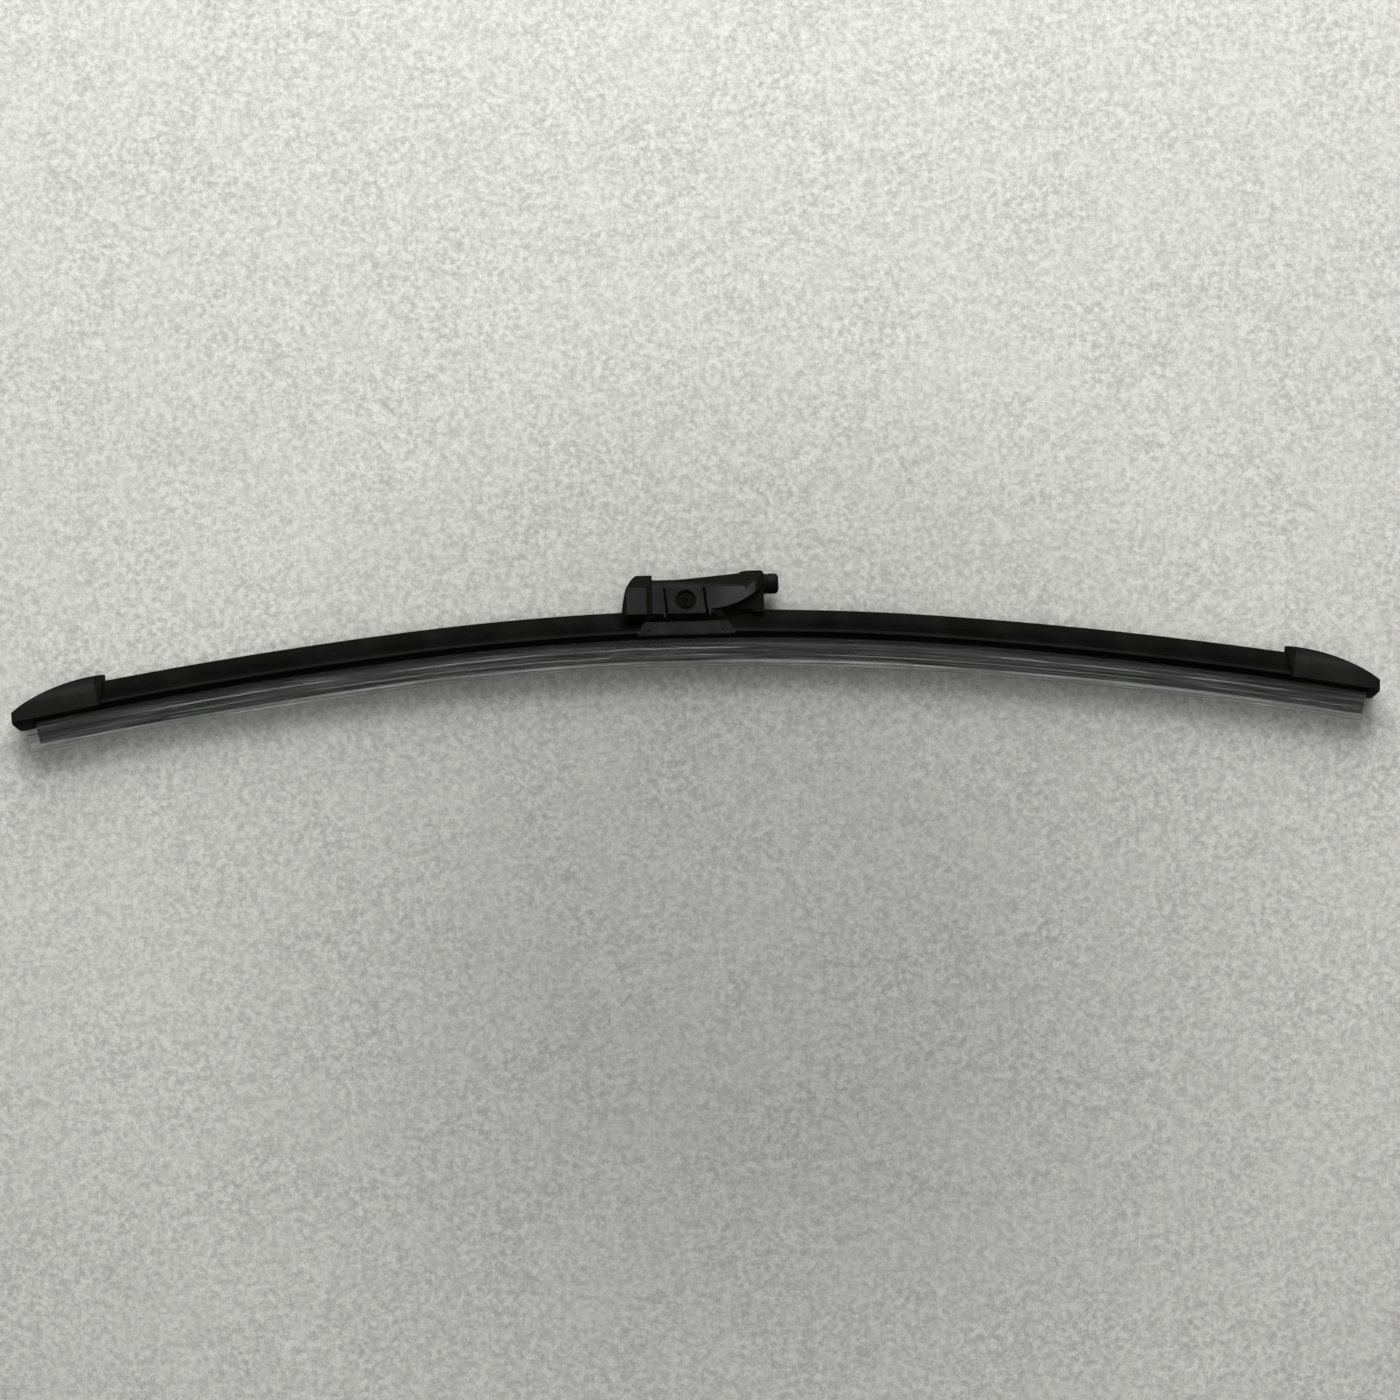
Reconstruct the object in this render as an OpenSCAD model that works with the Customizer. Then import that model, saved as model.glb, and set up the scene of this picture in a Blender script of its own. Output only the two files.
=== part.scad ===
// Flat wiper blade, lying on its side, with its arm adapter and a clear sleeve over the wiping lip.
// X runs along the blade, Y points away from the glass and Z across the blade.
// The origin is on the axis of the pivot pin, in the blade's middle plane.
// Heights written v are measured from the middle of the spring rails, square to the bow.

/* [Blade] */
// Length of the rubber, measured along the spring rails
rubber_len = 608; // [450:1:700]
// Distance of the pivot from the middle of the rubber
pivot_shift = 5.7; // [0:0.1:20]
// Bow radius of the rails near the pivot
near_radius = 1208; // [1000:1:1600]
// Bow radius of the rails beyond the near stretch
far_radius = 2304; // [1700:1:4000]
// Length of the near stretch on each side, along the rails
near_reach = 121; // [60:1:180]
// Height of the pivot over the middle of the rails
pivot_height = 13.7; // [13.5:0.1:16]

/* [Spring rails] */
// Thickness of a rail
rail_t = 1; // [0.8:0.05:1.1]
// Width of a rail
rail_w = 4.2; // [3.4:0.1:5]
// Distance that the rails stop short of the rubber's ends
rail_inset = 1.5; // [0.5:0.1:6]
// Gap between a rail and what it slides in
rail_fit = 0.1; // [0.05:0.01:0.15]

/* [Rubber] */
// Width of the web between the two rails
web_w = 3; // [2:0.1:4]
// Width of the head above the rails
head_w = 6.2; // [5:0.1:7]
// Height of the head above the rails
head_h = 1.8; // [1.2:0.1:2.2]
// Width of the shoulder under the rails
shoulder_w = 6.8; // [5:0.1:8]
// Height of the shoulder
shoulder_h = 1.6; // [1:0.1:2]
// Width of the thin neck that lets the lip tilt
neck_w = 1; // [0.6:0.1:1.6]
// Height of the neck
neck_h = 2.5; // [2:0.1:3]
// Width of the wings at the top of the lip
wing_w = 6; // [4:0.1:6.6]
// Height of the wings' flat edge
wing_edge = 0.9; // [0.4:0.1:1.5]
// Depth of the wiping edge below the middle of the rails
lip_depth = 13.2; // [11:0.1:14.6]
// Width of the wiping edge
lip_edge = 0.8; // [0.5:0.1:1.2]

/* [Spoiler] */
// Width over the claws that hold the rails
claw_w = 14; // [13:0.1:15]
// Thickness of the claws' lower lips
claw_t = 1; // [0.8:0.1:1.4]
// Reach of the lower lips under the rails
claw_reach = 1.2; // [0.8:0.1:1.6]
// Height of the claws' outer wall above the rails
claw_rise = 0.4; // [0.2:0.1:0.8]
// Height of the spoiler's top edge over the middle of the rails
spoiler_h = 9.3; // [7:0.1:10]
// Width of the spoiler's top edge
crest_w = 2.4; // [1.6:0.1:3]
// Size of the slanted edges along the top
crest_edge = 0.4; // [0.2:0.1:0.8]
// Depth of solid plastic under the top
crest_solid = 3.4; // [2:0.1:4]
// Width of the foot of the concave flanks
flank_w = 11.4; // [9:0.1:12.4]
// Depth of the hollow of each flank
flank_hollow = 0.9; // [0.3:0.1:1.3]

/* [End caps] */
// Length of a cap
cap_len = 42.5; // [36:0.5:60]
// Width of a cap
cap_w = 16.4; // [16:0.1:18]
// Height of a cap's top over the middle of the rails
cap_h = 12.2; // [11.5:0.1:14]
// Radius of a cap's curved top
cap_sweep_r = 82; // [60:1:120]
// Distance of the curved top's highest point from the mouth
cap_apex = 4; // [3:1:12]
// How far the left cap reaches past the rubber
left_overhang = 10.3; // [8:0.1:16]
// How far the right cap reaches past the rubber
right_overhang = 5.6; // [5:0.1:12]
// How much further the mouth's top reaches inwards than its foot
mouth_lean = 3; // [0:0.1:4]
// Depth of the pocket for the end of the spoiler
cap_pocket = 6; // [3:0.1:9]
// Width of the block that closes the rubber's end
stop_w = 8.6; // [6:0.1:10]
// Depth of that block below the middle of the rails
stop_depth = 5.9; // [4.6:0.1:6]
// Depth of the tip's front edge
tip_edge = 2.2; // [0.5:0.1:3]
// Depth of the tip's underside
tip_depth = 4.3; // [3:0.1:4.8]
// How far the tip's underside runs back before it slants down to the block
tip_back = 1.6; // [1:0.1:4]
// How much further the tip's foot reaches outwards than its top would at the cap's height
tip_lean = 2; // [0:0.1:3]

/* [Mount bracket] */
// Length of the bracket along its lower edge
bracket_len = 43.4; // [36:0.2:50]
// Width over the bracket's walls
bracket_w = 14.4; // [14.2:0.1:15]
// Thickness of its steel
steel_t = 1.2; // [1:0.1:1.3]
// Height of its top over the middle of the rails
bracket_h = 4.1; // [4:0.1:4.6]
// How much shorter the top is at each end
bracket_slant = 2.6; // [0:0.1:5]
// Length of each claw under the rails
bracket_claw = 11; // [6:0.5:14]
// Distance of the round dimples from the bracket's ends
dimple_inset = 5.2; // [3.5:0.1:8]
// Diameter of a dimple and of the stud behind it
dimple_d = 1.8; // [1:0.1:2.2]
// Depth of a dimple
dimple_depth = 0.5; // [0.2:0.1:0.7]
// Distance of the two ears' outer faces
ear_span = 6.8; // [6:0.1:7.2]
// Radius of an ear round the pin
ear_r = 4.4; // [3.8:0.1:4.6]
// Width of an ear at its foot
ear_foot = 34; // [30:0.5:36]
// Diameter of the pivot pin
pin_d = 5; // [4:0.1:5.4]
// Length of the pivot pin
pin_len = 9.8; // [9:0.1:10]
// Gap all round between the pin and its bores
pin_fit = 0.05; // [0.02:0.01:0.08]

/* [Adapter] */
// Width of the adapter over its side walls
adapter_w = 13.6; // [13:0.1:14.4]
// Thickness of the side walls
adapter_wall = 1.5; // [1.2:0.1:1.6]
// Height of the adapter's lower edge under the pivot
adapter_drop = 6; // [5.6:0.1:6.2]
// Height of the adapter's level top behind the hump
top_low = 9.4; // [9:0.1:9.8]
// Place where the level top ends and starts to rise
top_bend = -3; // [-8:0.5:2]
// Height of the adapter's top at the raised pad
top_high = 11.7; // [11:0.1:12.4]
// Height of the line where the sides start to lean inwards
bevel_line = 5.8; // [5:0.1:6.4]
// Inward lean of each side above that line
bevel_in = 2.6; // [1:0.1:3.2]
// Width over the hump
hump_w = 16.4; // [15:0.1:18]
// Height of the hump
hump_top = 11.6; // [11:0.1:12.4]
// Distance of the hump's front from the pivot
hump_front = 29.2; // [27:0.1:32]
// Distance of the hump's shoulder from the pivot
hump_back = 15.2; // [14:0.1:16]
// Thickness of the hump's front wall at its foot
hump_wall = 4; // [3:0.1:6]
// Distance of the tail's end from the pivot
tail_end = 35.4; // [33:0.1:38]
// Radius of the tail's curved lower edge
boat_r = 35.6; // [30:0.1:45]
// Distance from the pivot where that curve starts
boat_start = 10.2; // [9.8:0.1:12]
// Step up from the adapter's lower edge to that curve
boat_step = 1.9; // [1:0.1:3]
// Height of the raised pad over the top
pad_rise = 1.1; // [0.5:0.1:2]
// Length of the raised pad
pad_len = 10.6; // [6:0.1:14]
// Width of the raised pad
pad_w = 7.2; // [5:0.1:8]
// Width of the slits beside the snap tab
slit_w = 0.9; // [0.5:0.1:1.4]
// Distance of the front slit's foot from the pivot
front_slit = 8.4; // [8.2:0.1:9]
// Distance of the rear slit's foot from the pivot
rear_slit = 9.6; // [9:0.1:10]
// Lean of the slits along their height
slit_lean = 1.3; // [0:0.1:2]
// Radius of the dished rim round the pivot boss
dish_r = 4.7; // [4:0.1:5.2]
// Radius of the boss that turns with the adapter
boss_r = 3.2; // [2.8:0.1:3.6]
// Diameter of the hole in the boss
boss_hole = 2.1; // [1:0.1:3]
// Length of the hinge block along the blade
block_len = 16; // [12:0.5:17]
// Height of the hinge block's underside over the adapter's lower edge
block_raise = 0.8; // [0.5:0.1:1.5]
// Thickness of the keel's two ribs
keel_wall = 1.5; // [1:0.1:2]
// Width over the keel
keel_w = 8; // [7:0.1:9]
// Length of the foot at the keel's end
foot_len = 5; // [3:0.5:8]
// Height of that foot
foot_h = 1.4; // [1:0.1:2]
// Gap between the keel and the spoiler's top at rest
keel_gap = 0.45; // [0.35:0.05:0.8]
// Width of the slot in the hump's front that clears the spoiler
front_slot_w = 8.6; // [8.4:0.1:10]

/* [Tail knob] */
// Diameter of the knob
knob_d = 9.3; // [8:0.1:10]
// Length of the knob
knob_len = 6.8; // [5:0.1:9]
// Height of the knob's axis over the pivot
knob_up = 6.7; // [6.2:0.1:7]
// Diameter of the stub that carries the knob
stub_d = 4.6; // [3.6:0.1:5.4]

/* [Sleeve] */
// Width of the sleeve at its top
sleeve_w = 8.8; // [8:0.1:9.6]
// Width of the sleeve at its rounded bottom
sleeve_foot_w = 5.2; // [4:0.1:7]
// Wall of the sleeve
sleeve_wall = 0.6; // [0.4:0.05:0.8]
// Depth of the sleeve's bottom below the middle of the rails
sleeve_depth = 16.2; // [15.6:0.1:18]
// Height of the sleeve's upright walls
sleeve_upright = 2.2; // [1:0.1:4]
// How far the sleeve reaches past the rubber at the left end
sleeve_past = 4.8; // [0:0.1:7]

/* [Fits] */
// Gap between moulded parts that plug into each other
plug_gap = 0.15; // [0.1:0.01:0.2]
// Gap between parts that move past or rest on each other
free_gap = 0.3; // [0.25:0.05:0.5]

/* [Hidden] */

// Fineness of the long bow, of round parts and of small corners
bow_fn = 720;
round_fn = 72;
corner_fn = 24;
flank_steps = 7;
over = 1;
long = 60;

// Heights of the bracket, seen from the pivot, and the lean of its ends
bracket_claw_v = rail_t / 2 + rail_fit + pow(bracket_len / 2, 2) / (2 * near_radius) + 0.05;
bracket_low = -pivot_height - bracket_claw_v - steel_t;
bracket_top = -pivot_height + bracket_h;
slant_foot = bracket_low + 1.6;
slant = bracket_slant / (bracket_top - slant_foot);

// Ends of the pieces, as lengths along the rails from the pivot's foot
left_end = rubber_len / 2 - pivot_shift;
right_end = rubber_len / 2 + pivot_shift;
left_cap_mouth = left_end + left_overhang - cap_len;
right_cap_mouth = right_end + right_overhang - cap_len;
spoiler_start = bracket_len / 2 + free_gap;

// Heights of the faces above and below the rails
rail_top = rail_t / 2;
rail_in = web_w / 2 + rail_fit;
rail_out = rail_in + rail_w;
groove_v = rail_top + rail_fit;
head_top = groove_v + head_h;
shoulder_v = groove_v + shoulder_h;
wing_v = shoulder_v + neck_h;
claw_v = rail_top + rail_fit + claw_t;
claw_in = rail_out - claw_reach;

// The bow: two radii that run into each other without a kink
near_turn = near_reach / near_radius * 180 / PI;
near_centre = [0, -pivot_height - near_radius];
far_shift = near_radius - far_radius;
far_centre = near_centre + far_shift * [sin(near_turn), cos(near_turn)];

function is_far(s) = abs(s) > near_reach;
function bow_turn(s) = is_far(s)
  ? near_turn + (s - near_reach) / far_radius * 180 / PI
  : s / near_radius * 180 / PI;
function bow_point(s) = is_far(s)
  ? far_centre + far_radius * [sin(bow_turn(s)), cos(bow_turn(s))]
  : near_centre + near_radius * [sin(bow_turn(s)), cos(bow_turn(s))];

// Moves children to a place along the right half of the bow, X outwards along the rails and Y as v
module at_bow(s) {
  translate([bow_point(s)[0], bow_point(s)[1], 0]) rotate(-bow_turn(s)) children();
}

// Turns children about the near centre so that X points at the place where the two radii meet
module at_junction() {
  translate([near_centre[0], near_centre[1], 0]) rotate(90 - near_turn) children();
}

// Right half of a swept piece; the section's X is v and its Y runs across the blade
module sweep_half(from, to) {
  at_junction() {
    rotate_extrude(angle = near_turn - bow_turn(from), $fn = bow_fn)
      translate([near_radius, 0]) children();
    translate([far_shift, 0, 0]) mirror([0, 1, 0])
      rotate_extrude(angle = bow_turn(to) - near_turn, $fn = bow_fn)
        translate([far_radius, 0]) children();
  }
}

// Whole swept piece, with its reach to the left and to the right; the halves run into each other
module sweep_across(left, right) {
  sweep_half(-near_reach / 3, right) children();
  mirror([1, 0, 0]) sweep_half(-near_reach / 3, left) children();
}

// Both sides of a section given as half widths and heights, as points of v and the side distance
function both_sides(half) = concat(
  [for (p = half) [p[1], p[0]]],
  [for (i = [len(half) - 1:-1:0]) [half[i][1], -half[i][0]]]
);

// The same, with the half width as X and the height as Y
function upright(half) = concat(
  half,
  [for (i = [len(half) - 1:-1:0]) [-half[i][0], half[i][1]]]
);

// Draws an outline of half widths and heights as a bar along X
module bar_along_x(half, from, to) {
  translate([from, 0, 0]) rotate([0, 90, 0]) linear_extrude(height = to - from) polygon(upright(half));
}

// Draws an outline of X and half widths as a block along Y
module block_along_y(points) {
  rotate([90, 0, 0]) linear_extrude(height = long, center = true) polygon(points);
}

// Box with its X and Y limits, centred across the blade
module slab(x0, x1, y0, y1, width) {
  translate([x0, y0, -width / 2]) cube([x1 - x0, y1 - y0, width]);
}

// Does the same on both sides of the middle plane
module both() {
  children();
  mirror([0, 0, 1]) children();
}

// Rubber: head, web between the rails, shoulder, tilting neck, wings and tapered lip
module wiping_rubber() {
  half = [
    [head_w / 2 - 0.5, head_top],
    [head_w / 2, head_top - 0.6],
    [head_w / 2, groove_v],
    [web_w / 2, groove_v],
    [web_w / 2, -groove_v],
    [shoulder_w / 2, -groove_v],
    [shoulder_w / 2, -shoulder_v + 0.5],
    [shoulder_w / 2 - 0.5, -shoulder_v],
    [neck_w / 2, -shoulder_v],
    [neck_w / 2, -wing_v],
    [wing_w / 2, -wing_v],
    [wing_w / 2, -wing_v - wing_edge],
    [lip_edge / 2, -lip_depth]
  ];
  color([0.06, 0.06, 0.06]) sweep_across(left_end, right_end) polygon(both_sides(half));
}

// Flat spring rails, one in each side groove of the rubber
module spring_rail() {
  color([0.35, 0.36, 0.38])
    sweep_across(left_end - rail_inset, right_end - rail_inset)
      translate([-rail_top, rail_in]) square([rail_t, rail_w]);
}

module leading_spring_rail() {
  spring_rail();
}

module trailing_spring_rail() {
  mirror([0, 0, 1]) spring_rail();
}

// Spoiler: concave flanks over a hollow, and claws closed round the rails
flank_foot = groove_v + claw_rise + 1;
flank_rise = spoiler_h - crest_edge - flank_foot;
flank_run = (flank_w - crest_w) / 2;
flank_chord = norm([flank_run, flank_rise]);
function flank_point(t) =
  [crest_w / 2 + flank_run * t, spoiler_h - crest_edge - flank_rise * t]
  + 4 * flank_hollow * t * (1 - t) * [-flank_rise, -flank_run] / flank_chord;

module spoiler_section() {
  outer = concat(
    [[crest_w / 2 - crest_edge - 0.1, spoiler_h]],
    [for (i = [0:flank_steps]) flank_point(i / flank_steps)],
    [
      [claw_w / 2 - 0.5, groove_v + claw_rise + 0.4],
      [claw_w / 2, groove_v + claw_rise],
      [claw_w / 2, -claw_v + 0.4],
      [claw_w / 2 - 0.4, -claw_v],
      [claw_in, -claw_v]
    ]
  );
  inner = [
    [claw_in, -groove_v],
    [rail_out + rail_fit, -groove_v],
    [rail_out + rail_fit, groove_v],
    [head_w / 2 + 2 * rail_fit, groove_v],
    [head_w / 2 + 2 * rail_fit, head_top],
    [head_w / 2 - 1, head_top + 0.9],
    [0.5, spoiler_h - crest_solid]
  ];
  polygon(both_sides(concat(outer, inner)));
}

// The inner end is cut along the bracket's slanted end, so its top reaches over the bracket
module spoiler_half(mouth) {
  reach = slant * (spoiler_h + over + groove_v);
  color([0.09, 0.09, 0.09])
    difference() {
      sweep_half(spoiler_start - reach - over, mouth + cap_pocket) spoiler_section();
      linear_extrude(height = claw_w + over, center = true)
        polygon([
          [0, -pivot_height - long],
          [spoiler_start, -pivot_height - long],
          [spoiler_start, slant_foot],
          [spoiler_start - slant * long, slant_foot + long]
        ]);
    }
}

module spoiler_right() {
  spoiler_half(right_cap_mouth);
}

module spoiler_left() {
  mirror([1, 0, 0]) spoiler_half(left_cap_mouth);
}

// End cap with its mouth at X = 0 and its tip outwards; the rubber ends at rubber_at
cap_floor = -claw_v - 0.1;

module cap_side(rubber_at) {
  intersection() {
    translate([cap_apex, cap_h - cap_sweep_r]) circle(r = cap_sweep_r, $fn = 256);
    polygon([
      [mouth_lean / 3, cap_floor],
      [-mouth_lean * 2 / 3, cap_h],
      [cap_len - tip_lean, cap_h],
      [cap_len, -tip_edge],
      [cap_len - tip_back, -tip_depth],
      [cap_len - tip_back - (stop_depth - tip_depth), -stop_depth],
      [rubber_at + free_gap, -stop_depth],
      [rubber_at + free_gap, cap_floor]
    ]);
  }
}

module cap_shell(rubber_at) {
  side = cap_w / 2;
  skin = [
    [side, cap_floor],
    [side, 2.6],
    [side - 0.5, 5.4],
    [side - 1.8, 8.6],
    [side - 3.8, cap_h - 0.9],
    [side - 5.6, cap_h + over]
  ];
  stop = [[stop_w / 2, -stop_depth - over], [stop_w / 2, cap_floor + over]];
  plan = [[-mouth_lean, side], [cap_len - 15, side], [cap_len - 5, side - 1.4], [cap_len, side - 3.2]];
  intersection() {
    linear_extrude(height = cap_w + over, center = true) cap_side(rubber_at);
    union() {
      bar_along_x(skin, -mouth_lean, cap_len);
      bar_along_x(stop, rubber_at, cap_len);
    }
    block_along_y(concat(plan, [for (i = [len(plan) - 1:-1:0]) [plan[i][0], -plan[i][1]]]));
  }
}

module end_cap(rubber_at) {
  rails_at = rubber_at - rail_inset + free_gap;
  pocket = [
    [claw_w / 2 + plug_gap, cap_floor - over],
    [claw_w / 2 + plug_gap, groove_v + claw_rise + plug_gap],
    [flank_w / 2 + 2 * plug_gap, flank_foot + 2 * plug_gap],
    [crest_w / 2 + 2 * plug_gap, spoiler_h + plug_gap]
  ];
  slots = [
    [claw_in, cap_floor - over],
    [claw_in, -groove_v - 0.05],
    [rail_out + plug_gap, -groove_v - 0.05],
    [rail_out + plug_gap, groove_v + 0.05],
    [head_w / 2 + plug_gap, groove_v + 0.05],
    [head_w / 2 + plug_gap, head_top + plug_gap]
  ];
  difference() {
    cap_shell(rubber_at);
    bar_along_x(pocket, -mouth_lean - over, cap_pocket + free_gap);
    bar_along_x(slots, cap_pocket, rails_at);
    slab(cap_pocket, rubber_at + free_gap, cap_floor - over, head_top + plug_gap, head_w + 2 * plug_gap);
    slab(cap_pocket, rubber_at + free_gap, cap_floor - over, -groove_v, 2 * claw_in);
  }
}

module cap_at(mouth, rubber_end) {
  middle = cap_len / 2 - 2;
  color([0.12, 0.12, 0.12])
    at_bow(mouth + middle) translate([-middle, 0, 0]) end_cap(rubber_end - mouth);
}

module end_cap_right() {
  cap_at(right_cap_mouth, right_end);
}

module end_cap_left() {
  mirror([1, 0, 0]) cap_at(left_cap_mouth, left_end);
}

// Steel bracket: walls with claws under the rails, and two ears that carry the pin
wall_in = bracket_w / 2 - steel_t;

module bracket_walls() {
  bend_r = 0.6;
  section = [
    [claw_in, bracket_low],
    [bracket_w / 2 - bend_r, bracket_low],
    [bracket_w / 2, bracket_low + bend_r],
    [bracket_w / 2, bracket_top - bend_r],
    [bracket_w / 2 - bend_r, bracket_top],
    [0, bracket_top],
    [0, bracket_top - steel_t],
    [wall_in, bracket_top - steel_t],
    [wall_in, bracket_low + steel_t],
    [claw_in, bracket_low + steel_t]
  ];
  end = bracket_len / 2;
  intersection() {
    both() translate([-end, 0, 0]) rotate([0, -90, 0]) mirror([0, 0, 1])
      linear_extrude(height = bracket_len) polygon(section);
    linear_extrude(height = bracket_w, center = true)
      polygon([
        [-end, bracket_low],
        [end, bracket_low],
        [end, slant_foot],
        [end - bracket_slant, bracket_top],
        [bracket_slant - end, bracket_top],
        [-end, slant_foot]
      ]);
  }
}

module ear() {
  translate([0, 0, ear_span / 2 - steel_t])
    linear_extrude(height = steel_t)
      difference() {
        union() {
          circle(r = ear_r, $fn = round_fn);
          polygon([
            [-ear_foot / 2, bracket_top - steel_t / 2],
            [ear_foot / 2, bracket_top - steel_t / 2],
            [ear_foot / 2, bracket_top + 1],
            [ear_r, -1],
            [ear_r * 0.8, 0],
            [-ear_r * 0.8, 0],
            [-ear_r, -1],
            [-ear_foot / 2, bracket_top + 1]
          ]);
        }
        circle(r = pin_d / 2 + pin_fit, $fn = round_fn);
      }
}

module mount_bracket() {
  claw_gap = bracket_len / 2 - bracket_claw;
  window = ear_foot / 2 - 1;
  dimple_x = bracket_len / 2 - dimple_inset;
  color([0.16, 0.16, 0.17]) {
    difference() {
      bracket_walls();
      slab(-claw_gap, claw_gap, bracket_low - over, bracket_low + steel_t + 0.01, 2 * wall_in);
      slab(-window, window, bracket_top - steel_t - over, bracket_top + over, ear_span - 2 * steel_t);
      both() for (x = [-dimple_x, dimple_x])
        translate([x, -pivot_height, bracket_w / 2 - dimple_depth])
          cylinder(r = dimple_d / 2, h = over, $fn = corner_fn);
    }
    both() {
      ear();
      for (x = [-dimple_x, dimple_x])
        translate([x, -pivot_height, rail_out])
          cylinder(r = dimple_d / 2, h = wall_in - rail_out + 0.2, $fn = corner_fn);
    }
  }
}

module pivot_pin() {
  color([0.6, 0.6, 0.62])
    cylinder(r = pin_d / 2, h = pin_len, center = true, $fn = round_fn);
}

// Clear channel pushed on from the end: hooks in the neck, slanting walls and a round bottom
sleeve_top = shoulder_v + 1.1;
hook_in = neck_w / 2 + 0.9;

module sleeve_section() {
  top = sleeve_w / 2;
  foot = sleeve_foot_w / 2;
  outer = [
    [hook_in, -sleeve_top],
    [top, -sleeve_top],
    [top, -sleeve_top - sleeve_upright],
    [foot, -sleeve_depth + 1.6],
    [foot - 0.5, -sleeve_depth + 0.5],
    [foot - 1.6, -sleeve_depth]
  ];
  inner = [
    [hook_in, -sleeve_top - sleeve_wall],
    [top - sleeve_wall, -sleeve_top - sleeve_wall],
    [top - sleeve_wall, -sleeve_top - sleeve_upright],
    [foot - sleeve_wall, -sleeve_depth + 1.7],
    [foot - 0.4 - sleeve_wall, -sleeve_depth + 0.6 + sleeve_wall / 2],
    [foot - 1.7, -sleeve_depth + sleeve_wall]
  ];
  right = [for (p = outer) [p[1], p[0]]];
  left = [for (i = [len(outer) - 1:-1:0]) [outer[i][1], -outer[i][0]]];
  in_left = [for (p = inner) [p[1], -p[0]]];
  in_right = [for (i = [len(inner) - 1:-1:0]) [inner[i][1], inner[i][0]]];
  polygon(concat(right, left, in_left, in_right));
}

module protective_sleeve() {
  color([0.8, 0.82, 0.84, 0.4])
    difference() {
      sweep_across(left_end + sleeve_past, right_end) sleeve_section();
      mirror([1, 0, 0]) at_bow(left_end)
        slab(0, sleeve_past + over, -stop_depth - free_gap, 0, sleeve_w + over);
    }
}

// Hinge block: two cheeks outside the ears, joined over the pin, with bosses that show at the sides
cavity_w = adapter_w - 2 * adapter_wall;
block_w = cavity_w - 2 * plug_gap;
block_top = bevel_line + 0.6;
boss_end = adapter_w / 2 - 0.2;
bore_end = pin_len / 2 + 0.1;

module hinge_block() {
  cheek_in = ear_span / 2 + plug_gap;
  color([0.2, 0.2, 0.2])
    difference() {
      union() {
        slab(-block_len / 2, block_len / 2, -adapter_drop + block_raise, block_top, block_w);
        cylinder(r = boss_r, h = 2 * boss_end, center = true, $fn = round_fn);
      }
      slab(-block_len / 2 - over, block_len / 2 + over, -adapter_drop - over, ear_r + free_gap, 2 * cheek_in);
      cylinder(r = pin_d / 2 + pin_fit, h = 2 * bore_end, center = true, $fn = round_fn);
      cylinder(r = boss_hole / 2, h = adapter_w, center = true, $fn = corner_fn);
    }
}

// Adapter body: hump, bevelled sides, snap tab between slits, curved tail and keel, all one moulding
foot_low = -pivot_height + spoiler_h - pow(tail_end, 2) / (2 * near_radius) + keel_gap;
foot_at = tail_end - foot_len;
pad_at = tail_end - pad_len;
boat_low = -adapter_drop + boat_step;

// Height of the adapter's top: level behind the hump, then a straight rise up to the raised pad
function top_at(x) = top_low + (top_high - top_low) * max(0, x - top_bend) / (pad_at - top_bend);

// Outline of the adapter's sides seen from above, pulled in at the tail
function plan_of_tail() = let(side = adapter_w / 2)
  [
    [-hump_front, -side],
    [tail_end - 8, -side],
    [tail_end - 3, -side + 0.9],
    [tail_end, -side + 2.4],
    [tail_end, side - 2.4],
    [tail_end - 3, side - 0.9],
    [tail_end - 8, side],
    [-hump_front, side]
  ];

module adapter_section(width, lean) {
  side = width / 2;
  bar_along_x(
    [
      [side, -adapter_drop - 3],
      [side, bevel_line],
      [side - lean, hump_top + 2]
    ],
    -hump_front - over,
    tail_end + over
  );
}

module main_shell() {
  intersection() {
    linear_extrude(height = adapter_w + over, center = true) {
      polygon([
        [-hump_back - 2, -adapter_drop],
        [boat_start - 0.4, -adapter_drop],
        [boat_start, boat_low],
        [boat_start, top_at(boat_start)],
        [top_bend, top_low],
        [-hump_back - 2, top_low]
      ]);
      intersection() {
        translate([boat_start, boat_low + boat_r]) circle(r = boat_r, $fn = 256);
        polygon([
          [boat_start - 0.5, boat_low - over],
          [tail_end + over, boat_low - over],
          [tail_end + over, bevel_line],
          [tail_end, bevel_line],
          [tail_end, top_high - 0.3],
          [pad_at, top_high],
          [boat_start - 0.5, top_at(boat_start - 0.5)]
        ]);
      }
    }
    adapter_section(adapter_w, bevel_in);
    block_along_y(plan_of_tail());
  }
}

module hump() {
  flank_back = hump_back + 2.6;
  side = hump_w / 2;
  intersection() {
    linear_extrude(height = hump_w + over, center = true)
      polygon([
        [-hump_front, -adapter_drop + 0.3],
        [-hump_front + 0.8, 0.1],
        [-hump_front + 2.1, bevel_line],
        [-hump_front + 4.4, hump_top - 2],
        [-hump_front + 6.6, hump_top],
        [-hump_back, hump_top],
        [-hump_back, top_low - over],
        [-hump_back, -adapter_drop],
        [-hump_front + 0.4, -adapter_drop]
      ]);
    adapter_section(hump_w, bevel_in);
    block_along_y([
      [-hump_front, -side + 2],
      [-hump_front + 1.6, -side + 0.5],
      [-hump_front + 3.4, -side],
      [-flank_back, -side],
      [-flank_back, -adapter_w / 2],
      [-hump_back, -adapter_w / 2],
      [-hump_back, adapter_w / 2],
      [-flank_back, adapter_w / 2],
      [-flank_back, side],
      [-hump_front + 3.4, side],
      [-hump_front + 1.6, side - 0.5],
      [-hump_front, side - 2]
    ]);
  }
}

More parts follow.
